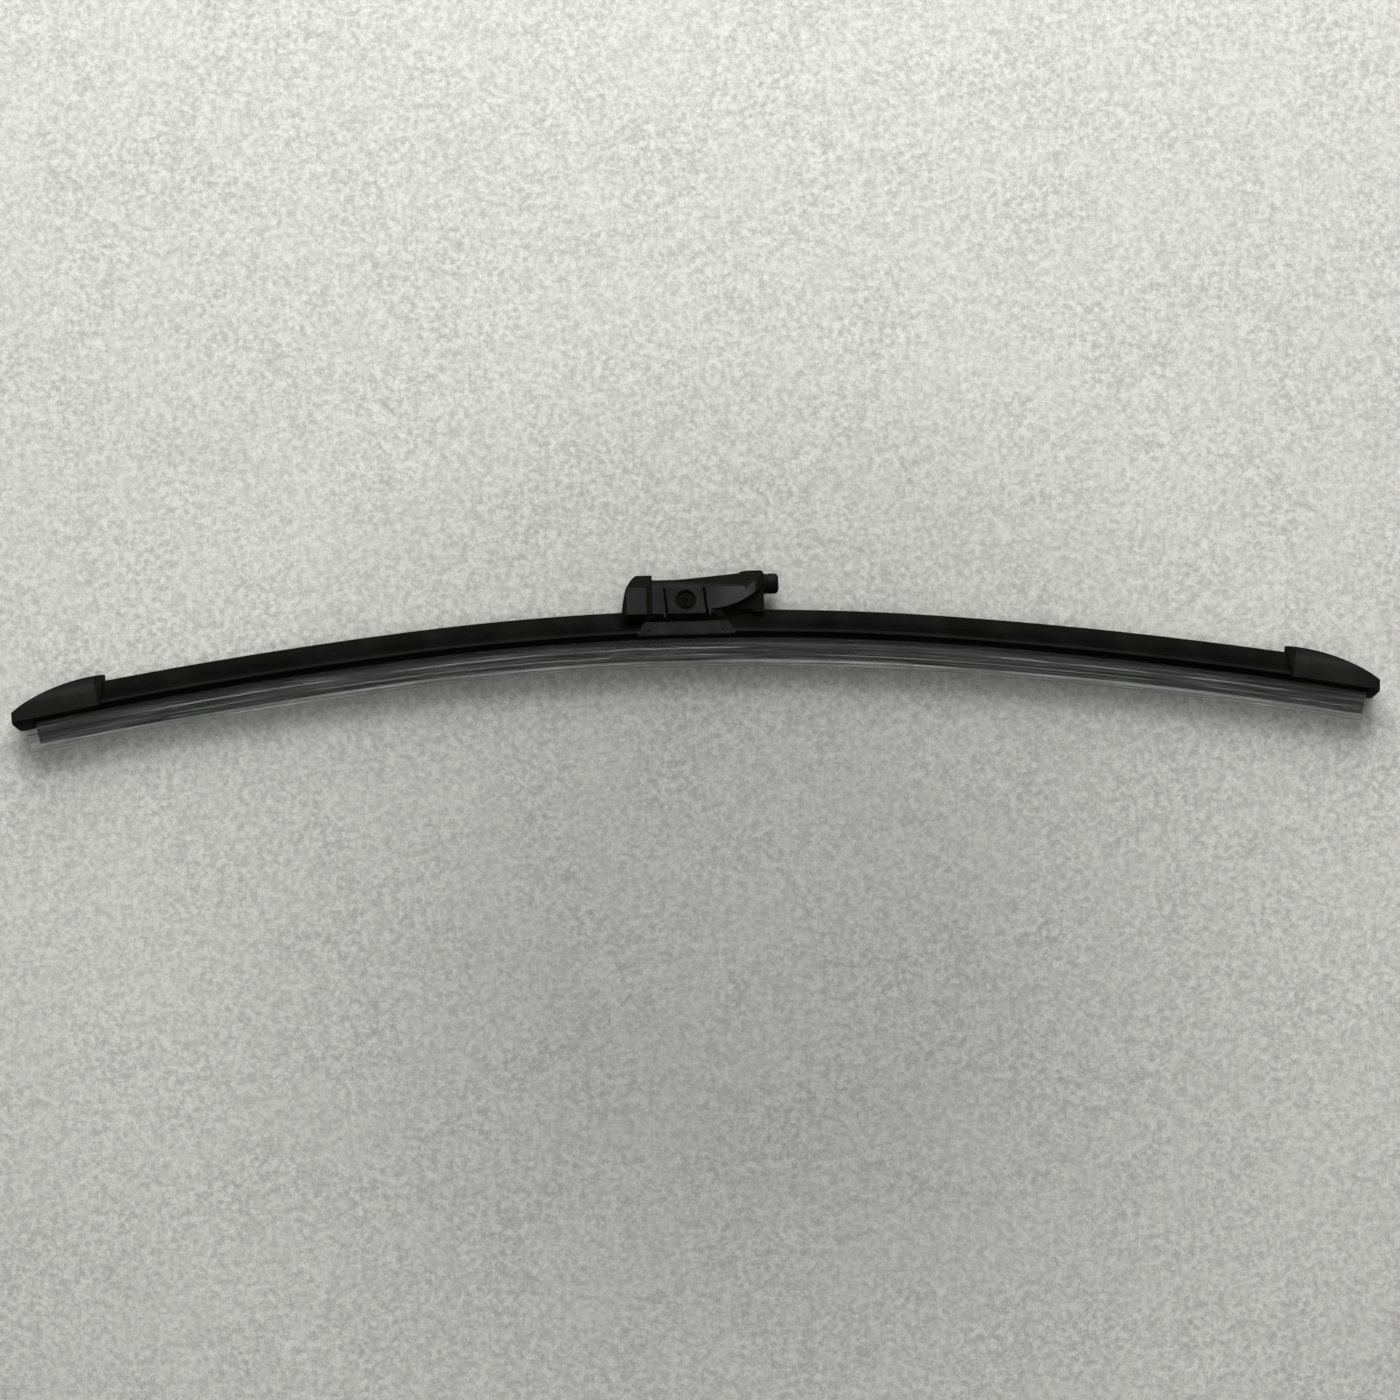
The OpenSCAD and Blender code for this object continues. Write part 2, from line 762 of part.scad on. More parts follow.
// Slit beside the snap tab, leaning away from its foot
module slit(foot) {
  linear_extrude(height = long, center = true)
    polygon([
      [foot - slit_w / 2, -adapter_drop - over],
      [foot + slit_w / 2, -adapter_drop - over],
      [foot + slit_w / 2 - slit_lean, bevel_line - 0.2],
      [foot - slit_w / 2 - slit_lean, bevel_line - 0.2]
    ]);
}

// Small tooth under each side wall, next to a slit
module tooth(x, rise, drop) {
  both() translate([0, 0, cavity_w / 2]) linear_extrude(height = adapter_wall)
    polygon([
      [x - 0.9, -adapter_drop + rise],
      [x + 0.9, -adapter_drop + rise],
      [x + 0.4, -adapter_drop - drop],
      [x - 0.5, -adapter_drop - drop]
    ]);
}

// Raised pad on top of the tail, with a ramp at its front
module pad() {
  linear_extrude(height = pad_w, center = true)
    polygon([
      [pad_at - 0.6, top_high - over],
      [pad_at - 0.6, top_high],
      [pad_at + 0.3, top_high + 0.7 * pad_rise],
      [pad_at + 3.6, top_high + pad_rise],
      [tail_end - 1.2, top_high + pad_rise],
      [tail_end, top_high + 0.2],
      [tail_end, top_high - over - 1]
    ]);
}

// Keel: two ribs inside the tail that end in a foot over the spoiler's crest
module keel() {
  start = boat_start + 3;
  difference() {
    linear_extrude(height = keel_w, center = true)
      polygon([
        [start, foot_low],
        [foot_at, foot_low],
        [foot_at, foot_low - foot_h],
        [tail_end, foot_low - foot_h],
        [tail_end, top_low - 1],
        [start, top_low - 1]
      ]);
    slab(start - over, foot_at, foot_low - over, top_low - 2, keel_w - 2 * keel_wall);
    slab(foot_at - over, tail_end + over, foot_low - foot_h - over, foot_low, crest_w + 2 + 2 * free_gap);
  }
}

module adapter_body() {
  color([0.17, 0.17, 0.17]) {
    difference() {
      union() {
        main_shell();
        hump();
      }
      slab(-hump_front + hump_wall, boat_start + 1, -adapter_drop - over, block_top + plug_gap, cavity_w);
      slab(boat_start, foot_at, boat_low - over, top_low - 1.2, cavity_w);
      slab(-hump_front - over, -hump_front + hump_wall + 1, -adapter_drop - over, 1, front_slot_w);
      both() cylinder(r = boss_r + plug_gap / 2, h = adapter_w, $fn = round_fn);
      both() translate([0, 0, adapter_w / 2 - 1])
        cylinder(r1 = boss_r + plug_gap / 2, r2 = dish_r, h = 1, $fn = round_fn);
      slit(-front_slit);
      slit(rear_slit);
    }
    tooth(-front_slit - slit_w / 2 - 0.8, 0.6, 1.8);
    tooth(rear_slit + slit_w / 2 + 0.9, 3, 0.9);
    pad();
    keel();
    translate([tail_end - over, knob_up, 0]) rotate([0, 90, 0])
      cylinder(r = stub_d / 2, h = knob_len / 2 + over, $fn = round_fn);
  }
}

// Rubber knob on the stub at the tail
module tail_knob() {
  r = knob_d / 2;
  bore = stub_d / 2 + pin_fit;
  depth = knob_len / 2 + free_gap;
  color([0.04, 0.04, 0.04])
    translate([tail_end, knob_up, 0]) rotate([0, 90, 0])
      rotate_extrude($fn = round_fn)
        polygon([
          [bore, 0],
          [r - 0.3, 0],
          [r, 0.3],
          [r, knob_len - 1.4],
          [r - 0.4, knob_len - 0.4],
          [r - 1.4, knob_len],
          [0, knob_len],
          [0, depth],
          [bore, depth]
        ]);
}

wiping_rubber();
leading_spring_rail();
trailing_spring_rail();
spoiler_left();
spoiler_right();
end_cap_left();
end_cap_right();
mount_bracket();
pivot_pin();
protective_sleeve();
hinge_block();
adapter_body();
tail_knob();
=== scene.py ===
# Looks of the flat wiper blade that lies on its side: the finished pieces, their finishes,
# the floor and the light.
# Shapes are made in millimetres and become metres at the end. Heights called v are square to the bow,
# measured from the middle of the spring rails, and s is the length along the rails from the pivot's foot.

from math import atan2, cos, hypot, pi, radians, sin

import bmesh
import bpy
from mathutils import Matrix, Vector


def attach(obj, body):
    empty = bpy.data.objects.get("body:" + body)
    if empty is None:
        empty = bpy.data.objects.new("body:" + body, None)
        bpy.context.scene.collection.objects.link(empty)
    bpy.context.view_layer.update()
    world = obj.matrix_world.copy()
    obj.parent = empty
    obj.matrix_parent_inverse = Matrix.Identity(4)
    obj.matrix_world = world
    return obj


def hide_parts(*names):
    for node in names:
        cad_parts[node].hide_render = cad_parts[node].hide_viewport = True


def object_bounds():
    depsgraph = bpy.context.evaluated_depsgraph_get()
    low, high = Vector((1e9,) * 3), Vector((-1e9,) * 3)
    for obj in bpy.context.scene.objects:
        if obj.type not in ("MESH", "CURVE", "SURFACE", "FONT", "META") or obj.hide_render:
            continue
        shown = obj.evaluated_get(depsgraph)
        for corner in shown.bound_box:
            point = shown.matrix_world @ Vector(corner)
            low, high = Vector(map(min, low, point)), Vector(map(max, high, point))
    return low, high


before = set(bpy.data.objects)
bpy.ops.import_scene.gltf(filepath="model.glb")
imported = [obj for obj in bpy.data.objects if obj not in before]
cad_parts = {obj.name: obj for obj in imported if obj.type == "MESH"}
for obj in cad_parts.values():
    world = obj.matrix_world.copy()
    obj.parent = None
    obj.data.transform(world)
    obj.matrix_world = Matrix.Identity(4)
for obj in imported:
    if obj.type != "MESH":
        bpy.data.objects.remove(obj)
cad_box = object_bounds()

MM = 0.001
UP = Vector((0, 0, 1))

# Camera

PHOTO_CENTRE = (5.25, -45.2)  # place of the object in the middle of the photograph
PHOTO_WIDTH = 634.9  # width that the photograph takes in, in the blade's middle plane
PHOTO_TURN = -1.507  # the blade's right end is raised a little in the photograph
CAMERA_HEIGHT = 1500
SENSOR = 36


def straight_down_camera():
    lens = bpy.data.cameras.new("camera")
    lens.sensor_width = SENSOR
    lens.lens = SENSOR * CAMERA_HEIGHT / PHOTO_WIDTH
    lens.clip_start, lens.clip_end = 0.05, 20
    camera = bpy.data.objects.new("camera", lens)
    camera.location = Vector((*PHOTO_CENTRE, CAMERA_HEIGHT)) * MM
    camera.rotation_euler = (0, 0, radians(PHOTO_TURN))
    bpy.context.scene.collection.objects.link(camera)
    bpy.context.scene.camera = camera


# The bow and other sizes of the part

NEAR_R, FAR_R = 1208, 2304
NEAR_REACH = 121
PIVOT_H = 13.7
NEAR_TURN = NEAR_REACH / NEAR_R
NEAR_CENTRE = Vector((0, -PIVOT_H - NEAR_R, 0))

LEFT_END, RIGHT_END = 298.3, 309.7
CAP_LEN = 42.5
LEFT_MOUTH, RIGHT_MOUTH = LEFT_END + 10.3 - CAP_LEN, RIGHT_END + 5.6 - CAP_LEN
CAP_POCKET = 6
GROOVE = 0.6
RAIL_OUT = 5.8
CLAW_IN = 4.6
HALF_BRACKET = 21.7


def bow_arc(s):
    """Centre, radius and turn of the bow at the length s."""
    side = 1 if s >= 0 else -1
    if abs(s) <= NEAR_REACH:
        return NEAR_CENTRE, NEAR_R, s / NEAR_R
    centre = NEAR_CENTRE + (NEAR_R - FAR_R) * Vector((side * sin(NEAR_TURN), cos(NEAR_TURN), 0))
    return centre, FAR_R, side * (NEAR_TURN + (abs(s) - NEAR_REACH) / FAR_R)


def on_bow(s, v, z=0.0):
    centre, radius, turn = bow_arc(s)
    return centre + (radius + v) * Vector((sin(turn), cos(turn), 0)) + z * UP


def along_blade(point):
    """The length s and the height v of a point."""
    side = 1 if point.x >= 0 else -1
    across, up = abs(point.x), point.y - NEAR_CENTRE.y
    turn = atan2(across, up)
    if turn <= NEAR_TURN:
        return side * turn * NEAR_R, hypot(across, up) - NEAR_R
    centre = bow_arc(NEAR_REACH + 1)[0]
    across, up = abs(point.x) - centre.x, point.y - centre.y
    turn = atan2(across, up)
    return side * (NEAR_REACH + (turn - NEAR_TURN) * FAR_R), hypot(across, up) - FAR_R


# Shaping tools

RIM = "rim"
HEIGHT = "height"
BLADE_MAP = "blade"
SAME_POINT = 0.0001  # corners nearer than this are one
SAME_AFTER_CUT = 0.003  # the same for the corners that a cut or a join leaves
FLAT_ENOUGH = 0.2  # degrees between faces that a cut or a join has split


def outline_face(bm, corners, place):
    """A flat face with rounded corners. Each corner is two numbers and how far its rounding reaches."""
    rounding = {}
    verts = []
    for corner in corners:
        vert = bm.verts.new(place(corner[0], corner[1]))
        verts.append(vert)
        if len(corner) > 2 and corner[2]:
            rounding.setdefault(corner[2], []).append(vert)
    bm.faces.new(verts)
    for reach, rounded in rounding.items():
        bmesh.ops.bevel(
            bm, geom=rounded, offset=reach, offset_type="OFFSET", segments=3, profile=0.5,
            affect="VERTICES", clamp_overlap=False, material=-1,
        )
    return bm.faces[:]


def both_sides(half):
    """A whole section from its right half, given from the top down and back up inside."""
    return list(half) + [(-corner[0], *corner[1:]) for corner in reversed(half)]


def extrude_by(bm, faces, step):
    made = bmesh.ops.extrude_face_region(bm, geom=faces)
    verts = [g for g in made["geom"] if isinstance(g, bmesh.types.BMVert)]
    bmesh.ops.translate(bm, vec=step, verts=verts)
    bmesh.ops.recalc_face_normals(bm, faces=bm.faces)


def side_plate(corners, low, high):
    """An outline of the side view, from the height low to high above the middle plane."""
    bm = bmesh.new()
    faces = outline_face(bm, corners, lambda x, y: (x, y, low))
    extrude_by(bm, faces, (0, 0, high - low))
    return bm


def cross_bar(corners, start, end):
    """An outline of half widths and heights, drawn out along the blade from start to end."""
    bm = bmesh.new()
    faces = outline_face(bm, corners, lambda z, y: (start, y, z))
    extrude_by(bm, faces, (end - start, 0, 0))
    return bm


def plan_plate(corners, low, high):
    """An outline seen from above the blade's back, from the height low to high."""
    bm = bmesh.new()
    faces = outline_face(bm, corners, lambda x, z: (x, low, z))
    extrude_by(bm, faces, (0, high - low, 0))
    return bm


def box(x0, x1, y0, y1, width):
    return side_plate([(x0, y0), (x1, y0), (x1, y1), (x0, y1)], -width / 2, width / 2)


def turned(profile, steps=72):
    """A closed body of revolution about the Z axis, from a profile of radii and heights."""
    bm = bmesh.new()
    verts = [bm.verts.new((radius, 0, z)) for radius, z in profile]
    edges = [bm.edges.new(pair) for pair in zip(verts, verts[1:])]
    bmesh.ops.spin(
        bm, geom=verts + edges, cent=(0, 0, 0), axis=(0, 0, 1), angle=2 * pi, steps=steps, use_merge=True
    )
    bmesh.ops.remove_doubles(bm, verts=bm.verts, dist=SAME_POINT)
    bmesh.ops.recalc_face_normals(bm, faces=bm.faces)
    return bm


def rod(radius, low, high, place=(0, 0, 0), steps=72):
    bm = turned([(0, low), (radius, low), (radius, high), (0, high)], steps)
    bmesh.ops.translate(bm, vec=place, verts=bm.verts)
    return bm


def swept(section, start, end, step=6.0):
    """A section drawn out along the bow from the length start to end."""
    bm = bmesh.new()
    outline_face(bm, section, lambda z, v: on_bow(start, v, z))
    geom = bm.verts[:] + bm.edges[:] + bm.faces[:]
    stops = [start] + [s for s in (-NEAR_REACH, NEAR_REACH) if start < s < end] + [end]
    for a, b in zip(stops, stops[1:]):
        centre = bow_arc((a + b) / 2)[0]
        angle = bow_arc(b - 1e-6)[2] - bow_arc(a + 1e-6)[2]
        steps = max(1, round((b - a) / step))
        made = bmesh.ops.spin(bm, geom=geom, cent=centre, axis=(0, 0, -1), angle=angle, steps=steps)
        geom = made["geom_last"]
    bmesh.ops.remove_doubles(bm, verts=bm.verts, dist=SAME_POINT)
    bmesh.ops.recalc_face_normals(bm, faces=bm.faces)
    return bm


def put_together(body, tool, way):
    """Joins, cuts or intersects two closed bodies and returns the new one."""
    objects = []
    for bm in (body, tool):
        mesh = bpy.data.meshes.new("shaping")
        bm.to_mesh(mesh)
        bm.free()
        objects.append(bpy.data.objects.new("shaping", mesh))
        bpy.context.scene.collection.objects.link(objects[-1])
    change = objects[0].modifiers.new("shape", "BOOLEAN")
    change.operation, change.solver, change.object = way, "EXACT", objects[1]
    seen = objects[0].evaluated_get(bpy.context.evaluated_depsgraph_get())
    made = bmesh.new()
    made.from_mesh(seen.to_mesh())
    seen.to_mesh_clear()
    for obj in objects:
        mesh = obj.data
        bpy.data.objects.remove(obj)
        bpy.data.meshes.remove(mesh)
    bmesh.ops.remove_doubles(made, verts=made.verts, dist=SAME_AFTER_CUT)
    bmesh.ops.dissolve_limit(
        made, angle_limit=radians(FLAT_ENOUGH), use_dissolve_boundaries=False,
        verts=made.verts, edges=made.edges,
    )
    return made


def joined(body, *tools):
    for tool in tools:
        body = put_together(body, tool, "UNION")
    return body


def cut(body, *tools):
    for tool in tools:
        body = put_together(body, tool, "DIFFERENCE")
    return body


def kept_inside(body, *tools):
    for tool in tools:
        body = put_together(body, tool, "INTERSECT")
    return body


def round_edges(bm, reach, segments=2, least=25, keep_sharp=()):
    """Rounds the sharp edges and marks the new strips as rims, where the finish wears and where the moulded
    finishes paint shade.
    """
    rim = bm.faces.layers.int.get(RIM) or bm.faces.layers.int.new(RIM)
    sharp = [e for e in bm.edges if e.is_manifold and e.calc_face_angle(0) > radians(least)]
    sharp = [e for e in sharp if e not in keep_sharp]
    made = bmesh.ops.bevel(
        bm, geom=sharp, offset=reach, offset_type="OFFSET", segments=segments, profile=0.5,
        affect="EDGES", clamp_overlap=False, material=-1,
    )
    for face in made["faces"]:
        face[rim] = 1
    return bm


def moved(bm, s, left=False):
    """Moves a body that is drawn from X = 0 outwards to the length s on the bow."""
    turn = bow_arc(s)[2]
    bmesh.ops.rotate(bm, cent=(0, 0, 0), matrix=Matrix.Rotation(-turn, 3, "Z"), verts=bm.verts)
    bmesh.ops.translate(bm, vec=on_bow(s, 0), verts=bm.verts)
    if left:
        bmesh.ops.scale(bm, vec=(-1, 1, 1), verts=bm.verts)
        bmesh.ops.recalc_face_normals(bm, faces=bm.faces)
    return bm


def blade_map(bm):
    """A map whose U runs along the bow and whose V runs round the section, in metres."""
    layer = bm.loops.layers.uv.new(BLADE_MAP)
    for face in bm.faces:
        for loop in face.loops:
            s, v = along_blade(loop.vert.co)
            loop[layer].uv = (s * MM, (v + 0.73 * loop.vert.co.z) * MM)


def finish_piece(name, bm, body, node, finish, sharp=38):
    """Makes the piece from its shape in millimetres; it stands for the CAD node."""
    bmesh.ops.recalc_face_normals(bm, faces=bm.faces)
    if bm.calc_volume(signed=True) < 0:
        bmesh.ops.reverse_faces(bm, faces=bm.faces)
    blade_map(bm)
    rim = bm.faces.layers.int.get(RIM)
    edge_band = bm.loops.layers.float.new(RIM)
    for face in bm.faces:
        face.smooth = True
        if rim and face[rim]:
            for loop in face.loops:
                loop[edge_band] = 1.0
    for edge in bm.edges:
        edge.smooth = edge.calc_face_angle(0) < radians(sharp)
    bmesh.ops.scale(bm, vec=(MM, MM, MM), verts=bm.verts)
    mesh = bpy.data.meshes.new(name)
    bm.to_mesh(mesh)
    bm.free()
    mesh.materials.append(finish)
    obj = bpy.data.objects.new(name, mesh)
    bpy.context.scene.collection.objects.link(obj)
    normals = obj.modifiers.new("normals", "WEIGHTED_NORMAL")
    normals.keep_sharp = True
    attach(obj, body)
    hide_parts(node)
    return obj


# Effects that several finishes share

FLOAT = "NodeSocketFloat"


class Nodes:
    """Adds and links the nodes of one tree."""

    def __init__(self, tree):
        self.tree = tree

    def add(self, kind, inputs=(), **settings):
        node = self.tree.nodes.new(kind)
        for key, value in settings.items():
            setattr(node, key, value)
        for key, value in dict(inputs).items():
            if isinstance(value, bpy.types.NodeSocket):
                self.tree.links.new(value, node.inputs[key])
            else:
                node.inputs[key].default_value = value
        return node

    def maths(self, operation, first, second=0.0, clamp=False):
        inputs = {0: first, 1: second}
        return self.add("ShaderNodeMath", inputs, operation=operation, use_clamp=clamp).outputs[0]

    def spread(self, value, low, high, to_low=0.0, to_high=1.0):
        """Takes a value from one range to another, held at both ends."""
        inputs = {"Value": value, "From Min": low, "From Max": high, "To Min": to_low, "To Max": to_high}
        return self.add("ShaderNodeMapRange", inputs).outputs["Result"]

    def noise(self, place, scale, detail=2.0, rough=0.5):
        inputs = {"Vector": place, "Scale": scale, "Detail": detail, "Roughness": rough}
        return self.add("ShaderNodeTexNoise", inputs).outputs["Fac"]

    def blend(self, share, first, second):
        node = self.add("ShaderNodeMix", data_type="RGBA")
        for socket, value in ((node.inputs[0], share), (node.inputs[6], first), (node.inputs[7], second)):
            if isinstance(value, bpy.types.NodeSocket):
                self.tree.links.new(value, socket)
            else:
                socket.default_value = value
        return node.outputs[2]

    def object_place(self):
        return self.add("ShaderNodeTexCoord").outputs["Object"]

    def squeezed_place(self, scale):
        """Place on the object, squeezed so that a pattern runs in lines."""
        inputs = {"Vector": self.object_place(), "Scale": scale}
        return self.add("ShaderNodeMapping", inputs).outputs[0]

    def facing(self):
        """The three shares of the surface's direction."""
        normal = self.add("ShaderNodeNewGeometry").outputs["Normal"]
        return self.add("ShaderNodeSeparateXYZ", {0: normal}).outputs

    def marked(self, layer):
        """What the shaping has marked on the mesh."""
        return self.add("ShaderNodeAttribute", attribute_name=layer).outputs["Fac"]


def effect(name, inputs, outputs):
    tree = bpy.data.node_groups.new(name, "ShaderNodeTree")
    for label, kind, value in inputs:
        socket = tree.interface.new_socket(name=label, in_out="INPUT", socket_type=kind)
        socket.default_value = value
    for label, kind in outputs:
        tree.interface.new_socket(name=label, in_out="OUTPUT", socket_type=kind)
    return Nodes(tree), tree.nodes.new("NodeGroupInput").outputs, tree.nodes.new("NodeGroupOutput").inputs


def mould_grain():
    """Fine spark-eroded grain of a moulded part, with its soft flow marks."""
    nodes, given, out = effect(
        "mould_grain",
        [("Scale", FLOAT, 2600.0), ("Flow scale", FLOAT, 90.0), ("Flow", FLOAT, 0.5)],
        [("Height", FLOAT), ("Flow mask", FLOAT)],
    )
    place = nodes.object_place()
    fine = nodes.noise(place, given["Scale"], 3, 0.6)
    flow = nodes.spread(nodes.noise(place, given["Flow scale"], 3, 0.55), 0.35, 0.68)
    nodes.tree.links.new(nodes.maths("MULTIPLY", flow, given["Flow"]), out["Flow mask"])
    nodes.tree.links.new(fine, out["Height"])
    return nodes.tree


def die_lines():
    """Lines that the die leaves along an extruded strip."""
    nodes, given, out = effect(
        "die_lines",
        [("Along", FLOAT, 9.0), ("Across", FLOAT, 2400.0)],
        [("Lines", FLOAT), ("Waves", FLOAT)],
    )
    uv = nodes.add("ShaderNodeUVMap", uv_map=BLADE_MAP).outputs["UV"]
    split = nodes.add("ShaderNodeSeparateXYZ", {0: uv})
    along = nodes.maths("MULTIPLY", split.outputs[0], given["Along"])
    across = nodes.maths("MULTIPLY", split.outputs[1], given["Across"])
    place = nodes.add("ShaderNodeCombineXYZ", {0: along, 1: across}).outputs[0]
    nodes.tree.links.new(nodes.noise(place, 1.0, 2, 0.6), out["Lines"])
    wide = nodes.maths("MULTIPLY", across, 0.12)
    broad = nodes.add("ShaderNodeCombineXYZ", {0: along, 1: wide}).outputs[0]
    nodes.tree.links.new(nodes.noise(broad, 1.0, 2, 0.5), out["Waves"])
    return nodes.tree


def rim_wear():
    """Where handling has rubbed the rounded edges, in broken patches."""
    nodes, given, out = effect(
        "rim_wear", [("Amount", FLOAT, 0.5), ("Scale", FLOAT, 260.0)], [("Worn", FLOAT)]
    )
    patches = nodes.spread(nodes.noise(nodes.object_place(), given["Scale"], 4, 0.65), 0.42, 0.62)
    rubbed = nodes.maths("MULTIPLY", nodes.marked(RIM), patches)
    worn = nodes.maths("MULTIPLY", rubbed, given["Amount"])
    nodes.tree.links.new(worn, out["Worn"])
    return nodes.tree


def fine_dust():
    """Specks and soft smears of dust on surfaces that have lain face up."""
    nodes, given, out = effect(
        "fine_dust",
        [("Speck scale", FLOAT, 900.0), ("Smear scale", FLOAT, 60.0)],
        [("Specks", FLOAT), ("Smears", FLOAT)],
    )
    place = nodes.object_place()
    specks = nodes.spread(nodes.noise(place, given["Speck scale"], 2, 0.5), 0.68, 0.78)
    smears = nodes.spread(nodes.noise(place, given["Smear scale"], 4, 0.6), 0.45, 0.75)
    up = nodes.spread(nodes.facing()[2], 0.3, 0.9)
    nodes.tree.links.new(nodes.maths("MULTIPLY", specks, up), out["Specks"])
    nodes.tree.links.new(nodes.maths("MULTIPLY", smears, up), out["Smears"])
    return nodes.tree


def painted_shade_mask():
    """Share of each face that keeps its own moulded tone; where it falls to 0 the finishes paint shade. Flat
    outer sides keep it, and so do faces standing upright to them, such as the top and the ends. Slopes,
    bevels and faces nearer the middle plane than the depth limits, such as recesses and inner walls, get
    painted shade.
    """
    nodes, given, out = effect(
        "painted_shade_mask",
        [
            ("Tilt low", FLOAT, 0.9), ("Tilt high", FLOAT, 0.98),
            ("Depth low", FLOAT, 0.0), ("Depth high", FLOAT, 0.001),
        ],
        [("Unshaded", FLOAT)],
    )
    sideways = nodes.maths("ABSOLUTE", nodes.facing()[2])
    tilt = nodes.spread(sideways, given["Tilt low"], given["Tilt high"])
    upright = nodes.spread(sideways, 0.3, 0.12, 0, 0.8)
    place = nodes.add("ShaderNodeSeparateXYZ", {0: nodes.object_place()})
    height = nodes.maths("ABSOLUTE", place.outputs[2])
    depth = nodes.spread(height, given["Depth low"], given["Depth high"])
    # painted shade: slopes and faces near the middle plane fall to 0 here
    side = nodes.maths("MULTIPLY", tilt, depth)
    nodes.tree.links.new(nodes.maths("MAXIMUM", side, upright), out["Unshaded"])
    return nodes.tree


EFFECTS = {make.__name__: make() for make in (mould_grain, die_lines, rim_wear, fine_dust, painted_shade_mask)}


# Finishes


def grey(value, tint=(1, 1, 1)):
    return (value * tint[0], value * tint[1], value * tint[2], 1)


class Finish(Nodes):
    """A material with its shader; use() places a shared effect in it."""

    def __init__(self, name, roughness=0.5, specular=0.5, **sockets):
        self.material = bpy.data.materials.new(name)
        self.material.use_nodes = True
        super().__init__(self.material.node_tree)
        self.shader = self.tree.nodes["Principled BSDF"]
        self.shader.inputs["Roughness"].default_value = roughness
        self.shader.inputs["Specular IOR Level"].default_value = specular
        for key, value in sockets.items():
            self.shader.inputs[key.replace("_", " ")].default_value = value

    def use(self, name, **inputs):
        node = self.tree.nodes.new("ShaderNodeGroup")
        node.node_tree = EFFECTS[name]
        for key, value in inputs.items():
            node.inputs[key.replace("_", " ")].default_value = value
        return node.outputs

    def feed(self, socket, value):
        self.tree.links.new(value, self.shader.inputs[socket])

    def laid_on(self, tone, where, share, colour):
        """A tone with some of another colour over it, such as dust."""
        return self.blend(self.maths("MULTIPLY", where, share), tone, colour)

    def bump(self, height, distance, strength=1.0, below=None):
        inputs = {"Height": height, "Distance": distance, "Strength": strength}
        if below:
            inputs["Normal"] = below
        return self.add("ShaderNodeBump", inputs).outputs[0]


def moulded_finish(name, dark, pale, tilt, depth=(0, MM), shade=0.0025, wear=0.2, tail=None):
    """Moulded plastic with its own toned grain, dusty and rubbed at its rims. Slopes, rims and recesses get
    painted shade and are also rougher, and where a tail colour is given the tail gets a painted lighter
    band.
    """
    finish = Finish(name, 0.5, 0.05)
    marks = finish.use("mould_grain", Flow=1.0)
    dust = finish.use("fine_dust")
    worn = finish.use("rim_wear", Amount=wear)
    limits = {"Tilt_low": tilt[0], "Tilt_high": tilt[1], "Depth_low": depth[0], "Depth_high": depth[1]}
    # side is the share left unshaded; below it, rims, including those marked at the caps' mouths, fall
    # towards painted shade
    side = finish.use("painted_shade_mask", **limits)["Unshaded"]
    side = finish.maths("MULTIPLY", side, finish.spread(finish.marked(RIM), 0, 1, 1, 0.1))
    tone = finish.blend(marks["Flow mask"], dark, pale)
    # painted light: a given tail colour makes the side from 9 to 33 mm along paler, standing in for the
    # light this part catches
    if tail:
        along = finish.add("ShaderNodeSeparateXYZ", {0: finish.object_place()}).outputs[0]
        begins, ends = finish.spread(along, 9 * MM, 22 * MM), finish.spread(along, 33 * MM, 28 * MM)
        tone = finish.blend(finish.maths("MULTIPLY", begins, ends), tone, tail)
    tone = finish.laid_on(tone, dust["Smears"], 0.03, grey(0.16))
    tone = finish.laid_on(tone, dust["Specks"], 0.08, grey(0.2))
    # painted shade: where side is low, the dark shade colour takes the place of the moulded tone
    tone = finish.blend(side, grey(shade, (1, 1.02, 0.8)), tone)
    finish.feed("Base Color", finish.blend(worn["Worn"], tone, grey(0.04)))
    rough = finish.spread(marks["Flow mask"], 0, 1, 0.46, 0.56)
    rough = finish.maths("ADD", rough, finish.spread(side, 0, 1, 0.38, 0))
    finish.feed("Roughness", finish.maths("SUBTRACT", rough, finish.maths("MULTIPLY", worn["Worn"], 0.15)))
    finish.feed("Normal", finish.bump(marks["Height"], 0.00002))
    return finish.material


